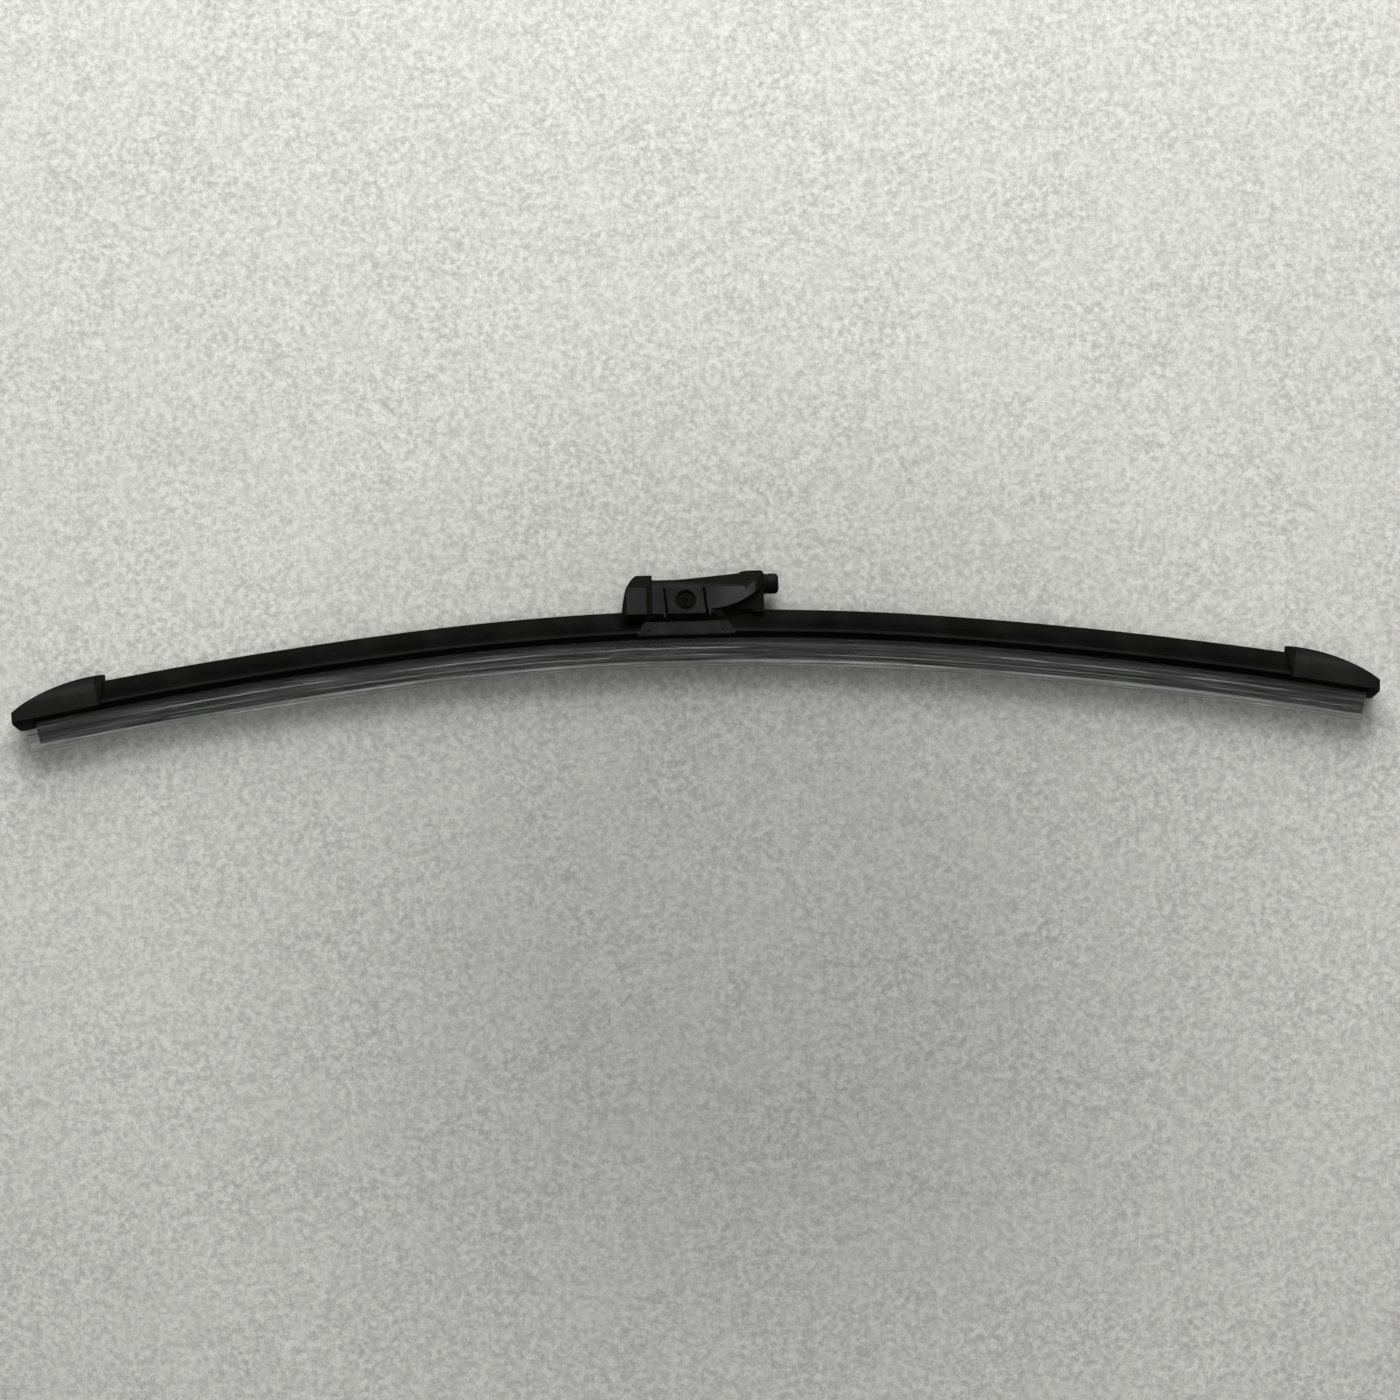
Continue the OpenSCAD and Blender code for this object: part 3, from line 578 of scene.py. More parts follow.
def spoiler_finish():
    """Extruded spoiler toned by height: soft black flanks, a faintly olive back, and greyer hard claws whose
    band is also a painted highlight on the faces turned up; the chamfer under the claws is left black as
    painted shade.
    """
    finish = Finish("spoiler_finish", 0.8, 0.025)
    lines = finish.use("die_lines")
    dust = finish.use("fine_dust")
    worn = finish.use("rim_wear", Amount=0.4)
    height = finish.marked(HEIGHT)
    tone = finish.blend(finish.spread(lines["Waves"], 0.35, 0.65), grey(0.0008), grey(0.002))
    back = finish.spread(height, 3.5, 8.4)
    tone = finish.blend(back, tone, grey(0.0062, (1, 1.04, 0.68)))
    # painted highlight: the claw band, partly the hard plastic's own grey, covers the faces turned up and
    # ends above the down-facing chamfer, which keeps the flank's black as painted shade
    claws = finish.maths("MULTIPLY", finish.spread(height, 0.95, 0.6), finish.spread(height, -0.8, -0.5))
    tone = finish.blend(claws, tone, grey(0.014))
    tone = finish.laid_on(tone, dust["Smears"], 0.03, grey(0.16))
    tone = finish.blend(worn["Worn"], tone, grey(0.04))
    finish.feed("Base Color", tone)
    soft = finish.spread(lines["Waves"], 0.3, 0.7, 0.8, 0.9)
    finish.feed("Roughness", finish.maths("SUBTRACT", soft, finish.maths("MULTIPLY", claws, 0.25)))
    finish.feed("Normal", finish.bump(lines["Lines"], 0.00002))
    return finish.material


def lip_rubber_finish():
    """Graphite-coated rubber with die lines."""
    finish = Finish("lip_rubber_finish", 0.5, 0.06)
    lines = finish.use("die_lines", Across=1800.0)
    dust = finish.use("fine_dust", Smear_scale=90.0)
    tone = finish.blend(finish.spread(lines["Waves"], 0.35, 0.65), grey(0.0018), grey(0.004))
    finish.feed("Base Color", finish.laid_on(tone, dust["Smears"], 0.03, grey(0.14)))
    finish.feed("Roughness", finish.spread(lines["Lines"], 0.3, 0.7, 0.6, 0.75))
    finish.feed("Normal", finish.bump(lines["Lines"], 0.00003))
    return finish.material


def rail_steel_finish():
    """Cold-rolled spring steel, brushed along its length."""
    finish = Finish("rail_steel_finish", 0.34, 0.5, Metallic=1.0)
    brushed = finish.noise(finish.squeezed_place((30, 5200, 5200)), 1.0, 3, 0.6)
    stains = finish.spread(finish.noise(finish.object_place(), 70, 4, 0.6), 0.5, 0.75)
    tone = finish.blend(brushed, grey(0.26, (1, 1.02, 1.05)), grey(0.4, (1, 1.02, 1.05)))
    finish.feed("Base Color", finish.blend(stains, tone, grey(0.16, (1.1, 1, 0.9))))
    finish.feed("Roughness", finish.spread(brushed, 0.3, 0.7, 0.26, 0.44))
    finish.feed("Normal", finish.bump(brushed, 0.00001))
    return finish.material


def bracket_paint_finish():
    """Dip-painted steel plate: faint orange peel and bare steel where its edges are rubbed. Its slopes, and
    the ears and inner walls near the middle plane, get painted shade.
    """
    finish = Finish("bracket_paint_finish", 0.4, 0.08)
    marks = finish.use("mould_grain", Scale=700.0, Flow_scale=120.0, Flow=1.0)
    dust = finish.use("fine_dust")
    worn = finish.use("rim_wear", Amount=0.4, Scale=420.0)
    # painted shade: wall is the share left unshaded; ears and inner walls within 5.5 mm of the middle plane,
    # and slopes, get near-black below
    wall = finish.use("painted_shade_mask", Depth_low=0.0055, Depth_high=0.0065)["Unshaded"]
    tone = finish.blend(marks["Flow mask"], grey(0.011), grey(0.016))
    tone = finish.laid_on(tone, dust["Smears"], 0.05, grey(0.15))
    tone = finish.laid_on(tone, dust["Specks"], 0.1, grey(0.25))
    tone = finish.blend(wall, grey(0.002), tone)
    finish.feed("Base Color", finish.blend(worn["Worn"], tone, grey(0.12)))
    finish.feed("Metallic", finish.maths("MULTIPLY", worn["Worn"], 0.8))
    rough = finish.spread(marks["Flow mask"], 0, 1, 0.36, 0.46)
    finish.feed("Roughness", finish.maths("ADD", rough, finish.spread(wall, 0, 1, 0.3, 0)))
    finish.feed("Normal", finish.bump(marks["Height"], 0.00002))
    return finish.material


def pin_steel_finish():
    """Blackened turned steel with rings round its axis, kept this dark also as painted shade for the pin's
    end deep in the boss's hole.
    """
    finish = Finish("pin_steel_finish", 0.3, 0.5, Metallic=1.0)
    rings = finish.noise(finish.squeezed_place((60, 60, 6000)), 1.0, 2, 0.5)
    # painted shade: the near-black tone also stands in for the shade in the boss's hole
    finish.feed("Base Color", finish.blend(rings, grey(0.008), grey(0.016)))
    finish.feed("Roughness", finish.spread(rings, 0.3, 0.7, 0.22, 0.36))
    finish.feed("Normal", finish.bump(rings, 0.00001))
    return finish.material


def clear_sleeve_finish():
    """Clear soft plastic, wavy along its length; lamp light passes on to the rubber and the floor."""
    finish = Finish("clear_sleeve_finish", 0.2, 0.5, Transmission_Weight=1.0, IOR=1.31)
    waves = finish.use("die_lines", Along=11.0, Across=2500.0)
    gloss = finish.use("die_lines", Along=14.0, Across=2600.0)
    streaks = finish.use("die_lines", Along=5.0, Across=850.0)
    smears = finish.spread(finish.noise(finish.object_place(), 80, 4, 0.6), 0.4, 0.7)
    finish.feed("Base Color", finish.blend(smears, grey(0.96, (0.99, 1, 1)), grey(0.88, (0.99, 1, 0.98))))
    finish.feed("Roughness", finish.spread(gloss["Waves"], 0.35, 0.6, 0.1, 0.24))
    wavy = finish.bump(waves["Waves"], 0.0008)
    finish.feed("Normal", finish.bump(streaks["Lines"], 0.00006, below=wavy))
    rays = finish.add("ShaderNodeLightPath").outputs["Is Shadow Ray"]
    share = finish.maths("MULTIPLY", rays, 0.8)
    clear = finish.add("ShaderNodeBsdfTransparent")
    mix = finish.add("ShaderNodeMixShader", {0: share, 1: finish.shader.outputs[0], 2: clear.outputs[0]})
    finish.tree.links.new(mix.outputs[0], finish.tree.nodes["Material Output"].inputs["Surface"])
    return finish.material


def knob_rubber_finish():
    """Smooth black rubber."""
    finish = Finish("knob_rubber_finish", 0.5, 0.045)
    marks = finish.use("mould_grain", Scale=900.0, Flow=1.0)
    worn = finish.use("rim_wear", Amount=0.4)
    tone = finish.blend(marks["Flow mask"], grey(0.002), grey(0.004))
    finish.feed("Base Color", finish.blend(worn["Worn"], tone, grey(0.03)))
    finish.feed("Roughness", finish.spread(marks["Flow mask"], 0, 1, 0.42, 0.54))
    finish.feed("Normal", finish.bump(marks["Height"], 0.00001))
    return finish.material


BOARD_TINT = (1, 1.003, 0.94)
# painted shade and painted light on the board: darkest round this spot, paler further out
BOARD_PAINTED_SHADE_SPOT = (0.025, -0.158, -0.0082)  # in metres, where the board is darkest
BOARD_PAINTED_SHADE, BOARD_PAINTED_LIGHT = 0.85, 1.22


def floor_finish():
    """Pale speckled board, with painted shade a little below the blade and painted light towards its sides.
    """
    finish = Finish("floor_finish", 0.75, 0.2)
    place = finish.object_place()
    specks = finish.spread(finish.noise(place, 420, 4, 0.6), 0.34, 0.66)
    clouds = finish.spread(finish.noise(place, 28, 3, 0.55), 0.35, 0.65)
    offset = finish.add("ShaderNodeVectorMath", {0: place, 1: BOARD_PAINTED_SHADE_SPOT}, operation="DISTANCE")
    outward = finish.spread(offset.outputs["Value"], 0.09, 0.28)

    def board_colour(level):
        tone = finish.blend(specks, grey(0.39 * level, BOARD_TINT), grey(0.66 * level, BOARD_TINT))
        return finish.laid_on(tone, clouds, 0.3, grey(0.58 * level, BOARD_TINT))

    # painted shade near the spot, blending out to painted light at the sides
    finish.feed("Base Color", finish.blend(outward, board_colour(BOARD_PAINTED_SHADE), board_colour(BOARD_PAINTED_LIGHT)))
    finish.feed("Roughness", finish.spread(specks, 0, 1, 0.7, 0.8))
    finish.feed("Normal", finish.bump(specks, 0.00005))
    return finish.material


# Rubber, rails, spoilers and sleeve


def height_mark(bm):
    """Marks each point with its height over the rails, for the spoiler's two plastics and the painted
    highlight and shade at its claws.
    """
    layer = bm.loops.layers.float.new(HEIGHT)
    for face in bm.faces:
        for loop in face.loops:
            loop[layer] = along_blade(loop.vert.co)[1]


def wiping_rubber():
    section = both_sides([
        (2.5, 2.4, 0.2), (3.1, 1.8, 0.2), (3.1, GROOVE, 0.1), (1.5, GROOVE), (1.5, -GROOVE),
        (3.4, -GROOVE, 0.15), (3.4, -1.7, 0.2), (2.9, -2.2, 0.2), (0.5, -2.2, 0.2), (0.5, -4.7, 0.2),
        (3.0, -4.7, 0.2), (3.0, -5.6, 0.3), (0.8, -11.7, 0.5), (0.4, -13.2, 0.12),
    ])
    bm = swept(section, -LEFT_END, RIGHT_END)
    finish_piece("wiping_rubber_strip", bm, "blade", "wiping_rubber", lip_rubber_finish())


def spring_rails():
    steel = rail_steel_finish()
    for node in ("leading_spring_rail", "trailing_spring_rail"):
        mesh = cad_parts[node].data
        mesh.materials.clear()
        mesh.materials.append(steel)


CREST, FLANK_FOOT = (1.2, 8.9), (5.7, 2.0)


def flank_points(steps=12, hollow=0.9):
    """The concave flank from the crest to its foot."""
    run, drop = FLANK_FOOT[0] - CREST[0], CREST[1] - FLANK_FOOT[1]
    chord = hypot(run, drop)
    points = []
    for i in range(steps + 1):
        t = i / steps
        dip = 4 * hollow * t * (1 - t) / chord
        points.append((CREST[0] + run * t - dip * drop, CREST[1] - drop * t - dip * run))
    return points


def spoiler_halves():
    finish = spoiler_finish()
    section = both_sides([
        (0.7, 9.3, 0.15), *flank_points(), (6.5, 1.4, 0.25), (7.0, 1.0, 0.3), (7.0, -0.6, 0.4),
        (6.2, -1.6, 0.2), (CLAW_IN, -1.6, 0.2), (CLAW_IN, -GROOVE, 0.1), (5.9, -GROOVE), (5.9, GROOVE),
        (3.3, GROOVE), (3.3, 2.4), (2.1, 3.3), (0.5, 5.9),
    ])
    mouth, foot, slant, far = HALF_BRACKET + 0.3, -14.15, 0.5714, 60
    for side, end in ((1, RIGHT_MOUTH), (-1, LEFT_MOUTH)):
        inner = mouth - slant * 11
        reach = end + CAP_POCKET
        bm = swept(section, inner, reach) if side > 0 else swept(section, -reach, -inner)
        corners = [(0, foot - far), (mouth, foot - far), (mouth, foot), (mouth - slant * far, foot + far)]
        tool = side_plate([(side * x, y) for x, y in corners], -9, 9)
        bm = cut(bm, tool)
        height_mark(bm)
        name = "right" if side > 0 else "left"
        finish_piece(f"spoiler_strip_{name}", bm, "blade", f"spoiler_{name}", finish)


SLEEVE_OUT, SLEEVE_BEND = 4.4, -5.5  # the wall stands upright down to the bend and slants in below it
SLEEVE_SLANT = 1.8 / 9.1


def crease(v, length=0.9, rise=0.4, back=0.5):
    """A crease in the sleeve's slanting wall whose upper side faces the tall softbox."""

    def wall(height):
        return SLEEVE_OUT - (SLEEVE_BEND - height) * SLEEVE_SLANT

    ridge, end = v - length, v - length - back
    return [(wall(v), v, 0.1), (wall(v) + rise, ridge, 0.12), (wall(end), end, 0.1)]


def clear_sleeve():
    film = 0.6
    outer = [
        (1.4, -3.3, 0.15), (SLEEVE_OUT, -3.3, 0.3), (SLEEVE_OUT, SLEEVE_BEND, 0.3), *crease(-7.3),
        *crease(-10.7, 0.6, 0.27, 0.4), *crease(-13.7, 0.7, 0.31, 0.3),
        (2.1, -15.7, 0.4), (1.0, -16.19, 0.4),
    ]
    inner = [
        (1.4, -3.3 - film), (SLEEVE_OUT - film, -3.3 - film, 0.2), (SLEEVE_OUT - film, SLEEVE_BEND, 0.3),
        (2.6 - film, -14.5, 0.3), (1.6, -15.3, 0.3), (0.9, -16.2 + film, 0.3),
    ]
    other_outer = [(-z, *rest) for z, *rest in reversed(outer)]
    other_inner = [(-z, *rest) for z, *rest in inner]
    section = outer + other_outer + other_inner + inner[::-1]
    bm = swept(section, -LEFT_END - 4.8, RIGHT_END, 5.0)
    tool = side_plate([(0, -6.2), (6, -6.2), (6, 0), (0, 0)], -5, 5)
    bm = cut(bm, moved(tool, LEFT_END, left=True))
    finish = clear_sleeve_finish()
    finish_piece("clear_sleeve_film", bm, "blade", "protective_sleeve", finish, 50)


# End caps

CAP_TOP, CAP_APEX, CAP_SWEEP = 12.2, 4, 82
CAP_FLOOR = -1.7
CAP_SIDE, CAP_LIP = 8.2, 1.5
STOP_DEPTH = 5.9
CAP_MOUTH = -1.95
CAP_ROUNDING = 0.45


def cap_outline(rubber_end, steps=40):
    """Side view of a cap: leaning mouth, long curved back, blunt tip and the block behind the lip."""
    points = []
    tip = CAP_LEN - 0.08
    for i in range(steps + 1):
        x = CAP_MOUTH + (tip - 0.64 - CAP_MOUTH) * i / steps
        points.append((x, CAP_TOP - CAP_SWEEP + (CAP_SWEEP**2 - (x - CAP_APEX) ** 2) ** 0.5))
    points += [
        (tip, -2.2), (tip - 1.6, -4.3), (tip - 3.2, -STOP_DEPTH), (rubber_end + 0.3, -STOP_DEPTH),
        (rubber_end + 0.3, CAP_FLOOR), (1, CAP_FLOOR),
    ]
    return points


def cap_skin(inset=0.0):
    side = CAP_SIDE - inset
    return both_sides([
        (side - 5.6, CAP_TOP + 1), (side - 3.8, CAP_TOP - 0.9, 0.8), (side - 1.8, 8.6, 0.8),
        (side - 0.5, 5.4, 0.8), (side, 2.6, 0.8), (side, CAP_FLOOR + 0.06 * inset),
    ])


def low_tip_edges(bm):
    """Edges at the foot of the tip; they stay sharp, because a rounding there would fold over itself."""

    def is_low(vert):
        return abs(vert.co.y - CAP_FLOOR) < 0.01

    low = [edge for edge in bm.edges if is_low(edge.verts[0]) and is_low(edge.verts[1])]
    return [edge for edge in low if max(vert.co.x for vert in edge.verts) > CAP_LEN - 2]


def cap_body(rubber_end):
    side = CAP_SIDE
    plan = [(-3, side), (CAP_LEN - 15, side, 2), (CAP_LEN - 5, side - 1.4, 2), (CAP_LEN, side - 3.2)]
    plan += [(x, -z, *rest) for x, z, *rest in reversed(plan)]
    stop_block = box(rubber_end, CAP_LEN + 1, -STOP_DEPTH - 1, CAP_FLOOR + 1, 8.6)
    bm = joined(cross_bar(cap_skin(), CAP_LIP, CAP_LEN + 1), stop_block)
    bm = kept_inside(bm, side_plate(cap_outline(rubber_end), -9, 9), plan_plate(plan, -9, 15))
    bm = round_edges(bm, CAP_ROUNDING, 3, keep_sharp=low_tip_edges(bm))
    lip = kept_inside(cross_bar(cap_skin(0.35), -4, CAP_LIP + 2), side_plate(cap_outline(rubber_end), -9, 9))
    bm = joined(bm, round_edges(lip, 0.3, 3))
    pocket = both_sides([(1.5, 9.45), (6.0, 2.3), (7.15, 1.15), (7.15, CAP_FLOOR - 1)])
    slots = both_sides([
        (3.25, 2.55), (3.25, 0.65), (5.95, 0.65), (5.95, -0.65), (CLAW_IN, -0.65), (CLAW_IN, CAP_FLOOR - 1),
    ])
    rails_end = rubber_end - 1.2
    inner_start, inner_end = rails_end - 0.5, rubber_end + 0.28
    bm = cut(
        bm,
        cross_bar(pocket, -5, CAP_POCKET + 0.3),
        cross_bar(slots, CAP_POCKET, rails_end),
        box(inner_start, inner_end, CAP_FLOOR - 1, 2.53, 6.46),
        box(inner_start, inner_end, CAP_FLOOR - 1, -0.6, 2 * CLAW_IN - 0.04),
    )
    # painted shade: the faces of the mouth lip are marked as rims, so that the cap's finish paints them dark
    mark = bm.faces.layers.int.get(RIM) or bm.faces.layers.int.new(RIM)
    for face in bm.faces:
        if face.calc_center_median().x < CAP_LIP:
            face[mark] = 1
    return bm


def end_caps():
    dark, pale = grey(0.009, (1, 1.02, 0.88)), grey(0.0145, (1, 1.02, 0.94))
    # painted shade on the cap's slopes and rims
    finish = moulded_finish("cap_finish", dark, pale, (0.72, 0.9), wear=0.04)
    middle = CAP_LEN / 2 - 2
    for name, mouth, end in (("right", RIGHT_MOUTH, RIGHT_END), ("left", LEFT_MOUTH, LEFT_END)):
        bm = cap_body(end - mouth)
        bmesh.ops.translate(bm, vec=(-middle, 0, 0), verts=bm.verts)
        bm = moved(bm, mouth + middle, left=name == "left")
        finish_piece(f"end_cap_shell_{name}", bm, "blade", f"end_cap_{name}", finish)


# Bracket, pin and hinge block

BRACKET_LOW, BRACKET_TOP = -15.746, -9.6
STEEL = 1.2
EAR_SPAN, EAR_R, EAR_FOOT = 6.8, 4.4, 34
DIMPLE_X, DIMPLE_R = 16.5, 0.9
PIN_R = 2.5
ADAPTER_DROP = 6


def mount_bracket():
    half, foot = 7.2, BRACKET_LOW + 1.6
    wall_in = half - STEEL
    profile = [
        (CLAW_IN, BRACKET_LOW), (half, BRACKET_LOW, 0.7), (half, BRACKET_TOP, 0.7),
        (-half, BRACKET_TOP, 0.7), (-half, BRACKET_LOW, 0.7), (-CLAW_IN, BRACKET_LOW),
        (-CLAW_IN, BRACKET_LOW + STEEL),
        (-wall_in, BRACKET_LOW + STEEL), (-wall_in, BRACKET_TOP - STEEL), (wall_in, BRACKET_TOP - STEEL),
        (wall_in, BRACKET_LOW + STEEL), (CLAW_IN, BRACKET_LOW + STEEL),
    ]
    end = HALF_BRACKET
    side = [
        (-end, BRACKET_LOW, 0.3), (end, BRACKET_LOW, 0.3), (end, foot), (end - 2.6, BRACKET_TOP, 0.8),
        (2.6 - end, BRACKET_TOP, 0.8), (-end, foot),
    ]
    bm = kept_inside(cross_bar(profile, -end - 1, end + 1), side_plate(side, -8, 8))
    bm = cut(
        bm,
        box(-10.7, 10.7, BRACKET_LOW - 1, BRACKET_LOW + STEEL + 0.01, 2 * wall_in),
        box(
            1 - EAR_FOOT / 2, EAR_FOOT / 2 - 1, BRACKET_TOP - STEEL - 1, BRACKET_TOP + 1,
            EAR_SPAN - 2 * STEEL,
        ),
    )
    crown = [(EAR_R * cos(radians(a)), EAR_R * sin(radians(a))) for a in range(0, 181, 6)]
    ear = [
        (-EAR_FOOT / 2, BRACKET_TOP - 0.6), (EAR_FOOT / 2, BRACKET_TOP - 0.6),
        (EAR_FOOT / 2, BRACKET_TOP + 1, 0.5), (EAR_R, -1, 2), *crown,
        (-EAR_R, -1, 2), (-EAR_FOOT / 2, BRACKET_TOP + 1, 0.5),
    ]
    for low in (EAR_SPAN / 2 - STEEL, -EAR_SPAN / 2):
        plate = cut(side_plate(ear, low, low + STEEL), rod(PIN_R + 0.05, -6, 6))
        bm = joined(bm, plate)
    for x in (-DIMPLE_X, DIMPLE_X):
        for z in (1, -1):
            deep, clear = -0.5 * z, z
            dimple = rod(DIMPLE_R, min(deep, clear), max(deep, clear), (x, -PIVOT_H, z * half), 32)
            near, far = z * RAIL_OUT, z * (wall_in + 0.2)
            stud = rod(DIMPLE_R, min(near, far), max(near, far), (x, -PIVOT_H, 0), 32)
            bm = joined(cut(bm, dimple), stud)
    bm = round_edges(bm, 0.14, 2)
    finish_piece("bracket_plate", bm, "blade", "mount_bracket", bracket_paint_finish())


def pivot_pin():
    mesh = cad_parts["pivot_pin"].data
    mesh.materials.clear()
    mesh.materials.append(pin_steel_finish())


BOSS_R, BOSS_HOLE = 3.2, 1.05
ADAPTER_HALF = 6.8


def hinge_block():
    boss_end = ADAPTER_HALF - 0.2
    bm = box(-10.4, 10.4, -ADAPTER_DROP + 0.8, 6.4, 10.3)
    bm = joined(bm, rod(BOSS_R, -boss_end, boss_end))
    bm = cut(
        bm,
        box(-11, 11, -ADAPTER_DROP - 1, EAR_R + 0.3, 7.1),
        rod(PIN_R + 0.05, -5, 5),
        rod(BOSS_HOLE, -8, 8, steps=40),
    )
    bm = round_edges(bm, 0.2, 2)
    # painted shade on slopes and on faces within 5.8 mm of the middle plane, round the slits and the pin;
    # the boss ends keep the block's tone
    finish = moulded_finish("hinge_block_finish", grey(0.0025), grey(0.005), (0.9, 0.98), (0.0058, 0.0062))
    finish_piece("hinge_block_boss", bm, "adapter", "hinge_block", finish)


# Adapter

HUMP_FRONT, HUMP_BACK, TAIL_END = 29.2, 15.2, 35.4
TOP_LOW, TOP_HIGH, TOP_BEND = 9.4, 11.7, -3
HUMP_TOP, HUMP_WALL = 11.6, 4
BEVEL_LINE, BEVEL_IN = 5.8, 2.6
BOAT_START, BOAT_LOW, BOAT_R = 10.2, -4.1, 35.6
PAD_AT = TAIL_END - 10.6
KEEL_LOW = -4.469
CAVITY = 10.6
DISH_R = 4.7
KNOB_UP = 6.7


def sloped_bar(half):
    """Sides that are upright to the bevel line and lean inwards above it."""
    return cross_bar(
        both_sides([(half - BEVEL_IN, HUMP_TOP + 2), (half, BEVEL_LINE), (half, -ADAPTER_DROP - 3)]), -31, 37
    )


def adapter_side():
    """Side view of the shell, with the curved lower edge of the tail."""
    points = [(-HUMP_BACK - 2, -ADAPTER_DROP), (9.8, -ADAPTER_DROP, 0.3), (BOAT_START, BOAT_LOW, 0.2)]
    steps = 28
    for i in range(1, steps + 1):
        x = BOAT_START + (TAIL_END - BOAT_START) * i / steps
        points.append((x, BOAT_LOW + BOAT_R - (BOAT_R**2 - (x - BOAT_START) ** 2) ** 0.5))
    points += [
        (TAIL_END, TOP_HIGH - 0.3), (PAD_AT, TOP_HIGH), (TOP_BEND, TOP_LOW, 2), (-HUMP_BACK - 2, TOP_LOW),
    ]
    return points


def slit(foot, lean=1.3, half=0.45):
    top = BEVEL_LINE - 0.2
    corners = [
        (foot - half, -ADAPTER_DROP - 1), (foot + half, -ADAPTER_DROP - 1), (foot + half - lean, top, 0.4),
        (foot - half - lean, top, 0.4),
    ]
    return side_plate(corners, -9, 9)


def tooth(x, rise, drop, side):
    top, tip = -ADAPTER_DROP + rise, -ADAPTER_DROP - drop
    corners = [(x - 0.9, top), (x + 0.9, top), (x + 0.4, tip, 0.2), (x - 0.5, tip, 0.2)]
    low = CAVITY / 2 if side > 0 else -ADAPTER_HALF
    return side_plate(corners, low, low + ADAPTER_HALF - CAVITY / 2)


def hump():
    half = 8.2
    front = -HUMP_FRONT
    side = [
        (front, -ADAPTER_DROP + 0.3), (front + 0.8, 0.1, 1), (front + 2.1, BEVEL_LINE, 1),
        (front + 4.4, HUMP_TOP - 2, 1), (front + 6.6, HUMP_TOP, 0.6), (-HUMP_BACK, HUMP_TOP),
        (-HUMP_BACK, -ADAPTER_DROP), (front + 0.4, -ADAPTER_DROP),
    ]
    plan = [
        (front, half - 2), (front + 1.6, half - 0.5, 0.6), (front + 3.4, half, 0.8),
        (-HUMP_BACK - 2.6, half, 0.5), (-HUMP_BACK, ADAPTER_HALF),
    ]
    plan += [(x, -z, *rest) for x, z, *rest in reversed(plan)]
    return kept_inside(side_plate(side, -9, 9), sloped_bar(half), plan_plate(plan, -8, 14))


def tail_plan():
    half = ADAPTER_HALF
    plan = [(-30, half), (TAIL_END - 8, half, 1), (TAIL_END - 3, half - 0.9, 1), (TAIL_END, half - 2.4)]
    return plan_plate(plan + [(x, -z, *rest) for x, z, *rest in reversed(plan)], -8, 14)


def keel():
    start, foot_at = BOAT_START + 3, TAIL_END - 5
    corners = [
        (start, KEEL_LOW), (foot_at, KEEL_LOW), (foot_at, KEEL_LOW - 1.4, 0.3),
        (TAIL_END, KEEL_LOW - 1.4, 0.4), (TAIL_END, TOP_LOW - 1), (start, TOP_LOW - 1),
    ]
    return cut(
        side_plate(corners, -4, 4),
        box(start - 1, foot_at, KEEL_LOW - 1, TOP_LOW - 2, 5),
        box(foot_at - 1, TAIL_END + 1, KEEL_LOW - 3, KEEL_LOW, 5),
    )


def raised_pad():
    corners = [
        (PAD_AT - 0.6, TOP_HIGH - 1), (PAD_AT - 0.6, TOP_HIGH), (PAD_AT + 0.3, TOP_HIGH + 0.77, 0.3),
        (PAD_AT + 3.6, TOP_HIGH + 1.1, 0.8), (TAIL_END - 1.2, TOP_HIGH + 1.1, 0.6),
        (TAIL_END, TOP_HIGH + 0.2, 0.2), (TAIL_END, TOP_HIGH - 2),
    ]
    return side_plate(corners, -3.6, 3.6)


def dish(side):
    """Sunk ring round the hinge block's boss."""
    seat = BOSS_R + 0.07
    bm = turned([(0, -8), (seat, -8), (seat, -1), (DISH_R, 0), (DISH_R, 2), (0, 2)])
    if side < 0:
        bmesh.ops.scale(bm, vec=(1, 1, -1), verts=bm.verts)
        bmesh.ops.recalc_face_normals(bm, faces=bm.faces)
    bmesh.ops.translate(bm, vec=(0, 0, side * ADAPTER_HALF), verts=bm.verts)
    return bm


def at_tail(bm):
    """Turns a round body along the adapter and moves it to the end of the tail."""
    bmesh.ops.rotate(bm, cent=(0, 0, 0), matrix=Matrix.Rotation(pi / 2, 3, "Y"), verts=bm.verts)
    bmesh.ops.translate(bm, vec=(TAIL_END, KNOB_UP, 0), verts=bm.verts)
    return bm


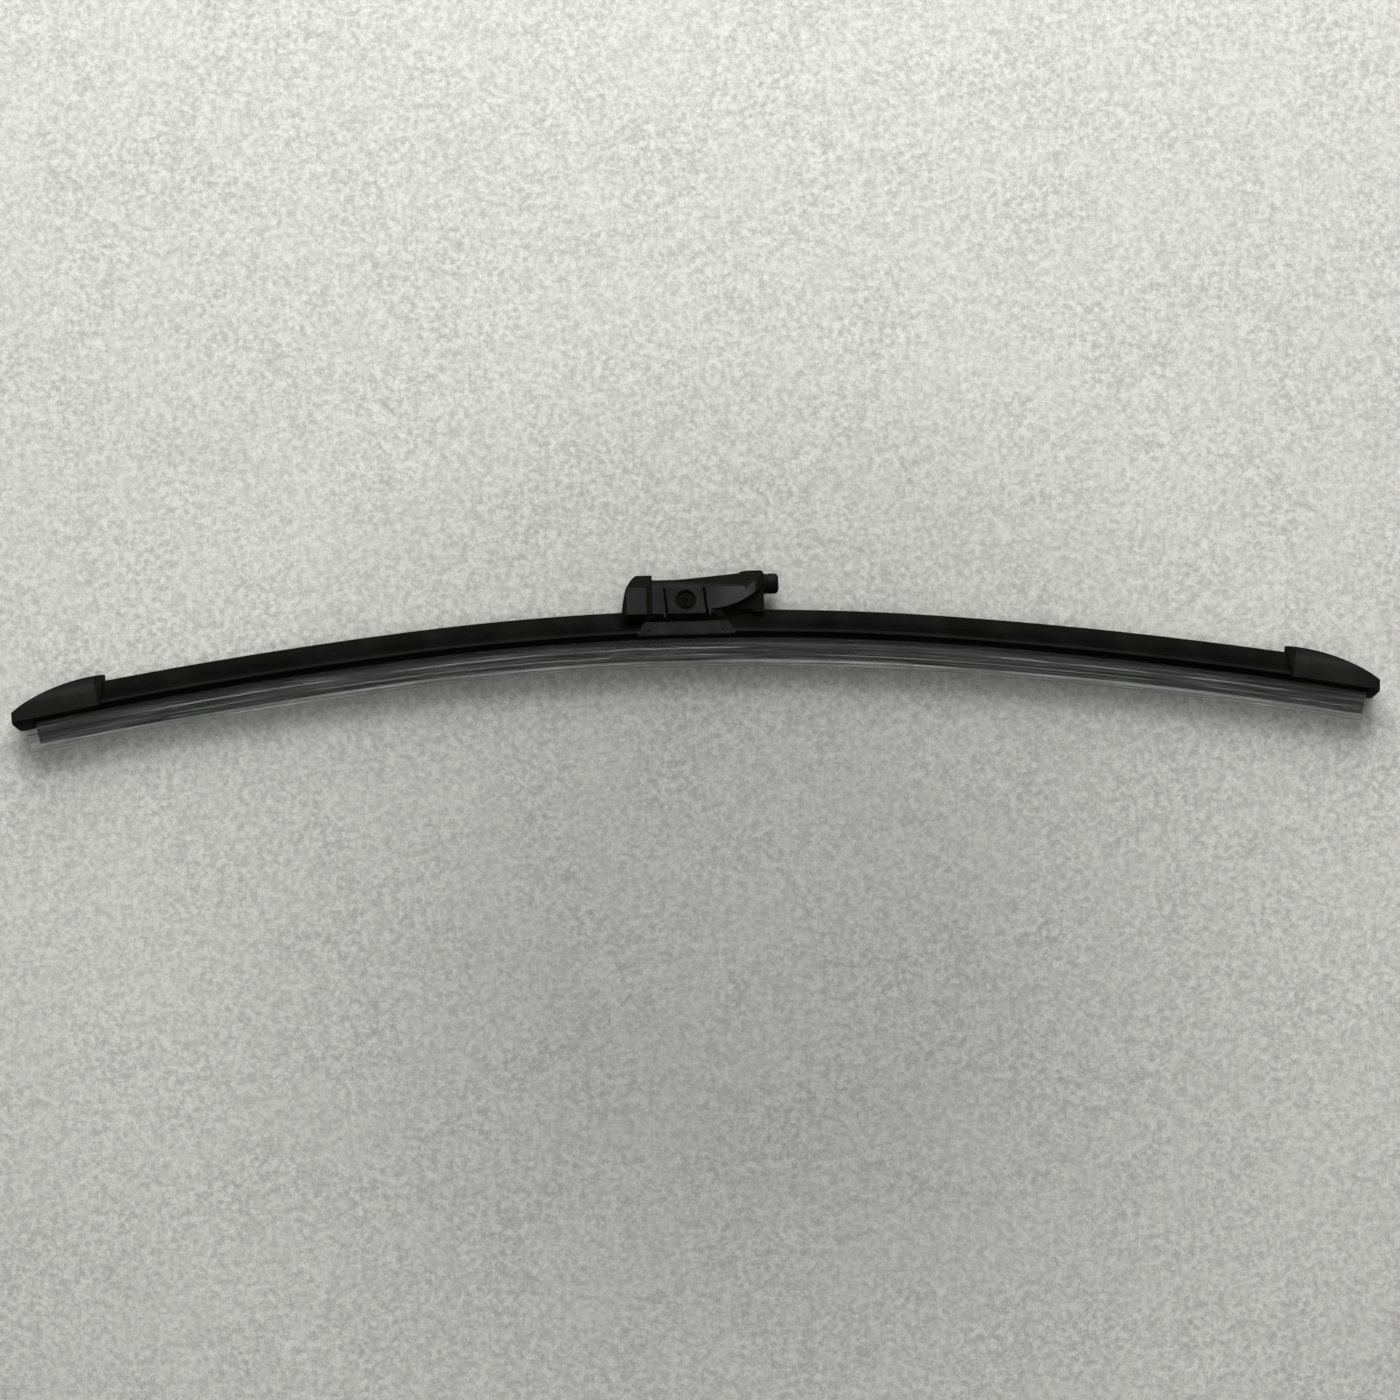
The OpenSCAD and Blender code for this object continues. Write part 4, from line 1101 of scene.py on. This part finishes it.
def adapter_body():
    shell = kept_inside(side_plate(adapter_side(), -7.5, 7.5), sloped_bar(ADAPTER_HALF), tail_plan())
    shell = joined(shell, hump())
    shell = cut(
        shell,
        box(-HUMP_FRONT + HUMP_WALL, BOAT_START + 1, -ADAPTER_DROP - 1, 6.55, CAVITY),
        box(BOAT_START, TAIL_END - 5, BOAT_LOW - 1, TOP_LOW - 1.2, CAVITY),
        box(-HUMP_FRONT - 1, -HUMP_FRONT + HUMP_WALL + 1, -ADAPTER_DROP - 1, 1, 8.6),
        dish(1),
        dish(-1),
        slit(-8.4),
        slit(9.6),
    )
    for side in (1, -1):
        shell = joined(shell, tooth(-9.65, 0.6, 1.8, side), tooth(10.95, 3, 0.9, side))
    tail_stub = at_tail(rod(2.3, -1, 3.4, steps=48))
    shell = joined(shell, raised_pad(), keel(), tail_stub)
    shell = round_edges(shell, 0.22, 2)
    # painted shade on the adapter's slopes and on keel and inner faces within 4.6 mm of the middle plane;
    # painted light on its tail, the last colour
    finish = moulded_finish(
        "adapter_finish", grey(0.014), grey(0.027), (0.955, 0.99), (0.0046, 0.0062), 0.006, 0.3, grey(0.038)
    )
    finish_piece("adapter_shell", shell, "adapter", "adapter_body", finish)


def tail_knob():
    """Rubber knob pressed on the stub, with a shallow ring and a domed end."""
    r, length, bore = 4.65, 6.8, 2.35
    profile = [
        (bore, 0), (r - 0.5, 0), (r - 0.15, 0.15), (r, 0.5), (r, 1.2), (r - 0.25, 1.45), (r - 0.25, 1.85),
        (r, 2.1), (r, length - 1.9), (r - 0.12, length - 1.2), (r - 0.5, length - 0.6),
        (r - 1.2, length - 0.2), (r - 2.2, length - 0.04), (0, length),
    ]
    inner = [(0, 3.7), (bore - 0.1, 3.7), (bore, 3.6)]
    bm = at_tail(turned(profile + inner + [(bore, 0)]))
    in_axis = [edge for edge in bm.edges if not edge.link_faces]
    bmesh.ops.delete(bm, geom=in_axis, context="EDGES")
    finish_piece("tail_knob_rubber", bm, "adapter", "tail_knob", knob_rubber_finish())


# Floor and light

FLOOR_Z = cad_box[0].z
FLOOR_REACH = 20


def floor():
    bm = bmesh.new()
    bmesh.ops.create_grid(bm, x_segments=4, y_segments=4, size=FLOOR_REACH)
    bmesh.ops.translate(bm, vec=(0, 0, FLOOR_Z), verts=bm.verts)
    mesh = bpy.data.meshes.new("floor")
    bm.to_mesh(mesh)
    bm.free()
    mesh.materials.append(floor_finish())
    obj = bpy.data.objects.new("floor", mesh)
    bpy.context.scene.collection.objects.link(obj)


def lamp(name, place, size, watts, aim=(0, -0.03, 0)):
    light = bpy.data.lights.new(name, "AREA")
    light.shape, light.size, light.size_y = "RECTANGLE", size[0], size[1]
    light.energy = watts
    obj = bpy.data.objects.new(name, light)
    obj.location = Vector(place)
    obj.rotation_euler = (Vector(aim) - obj.location).to_track_quat("-Z", "Y").to_euler()
    obj.visible_camera = False
    bpy.context.scene.collection.objects.link(obj)


BACKDROP = 0.38


def room_light():
    """A pale room to the eye and in reflections; its light falls mostly from the ceiling."""
    world = bpy.data.worlds.new("room")
    world.use_nodes = True
    bpy.context.scene.world = world
    nodes = Nodes(world.node_tree)
    direction = nodes.add("ShaderNodeTexCoord").outputs["Generated"]
    height = nodes.add("ShaderNodeSeparateXYZ", {0: direction}).outputs[2]
    ceiling = nodes.maths("POWER", nodes.spread(height, 0.0, 1.0), 2.0)
    rays = nodes.add("ShaderNodeLightPath").outputs
    seen = nodes.maths("ADD", rays["Is Camera Ray"], rays["Is Glossy Ray"])
    seen = nodes.maths("ADD", seen, rays["Is Transmission Ray"], clamp=True)
    light = nodes.blend(ceiling, grey(0.07), grey(0.2))
    back = world.node_tree.nodes["Background"]
    world.node_tree.links.new(nodes.blend(seen, light, grey(BACKDROP)), back.inputs["Color"])


def studio_light():
    room_light()
    lamp("tall_softbox", (0, 1.6, 0.85), (1.9, 1.3), 61)
    lamp("high_softbox", (0, -0.65, 1.6), (1.8, 0.3), 3.2)


# The scene

bpy.context.scene.view_settings.view_transform = "Standard"
straight_down_camera()
wiping_rubber()
spring_rails()
spoiler_halves()
clear_sleeve()
end_caps()
mount_bracket()
pivot_pin()
hinge_block()
adapter_body()
tail_knob()
floor()
studio_light()
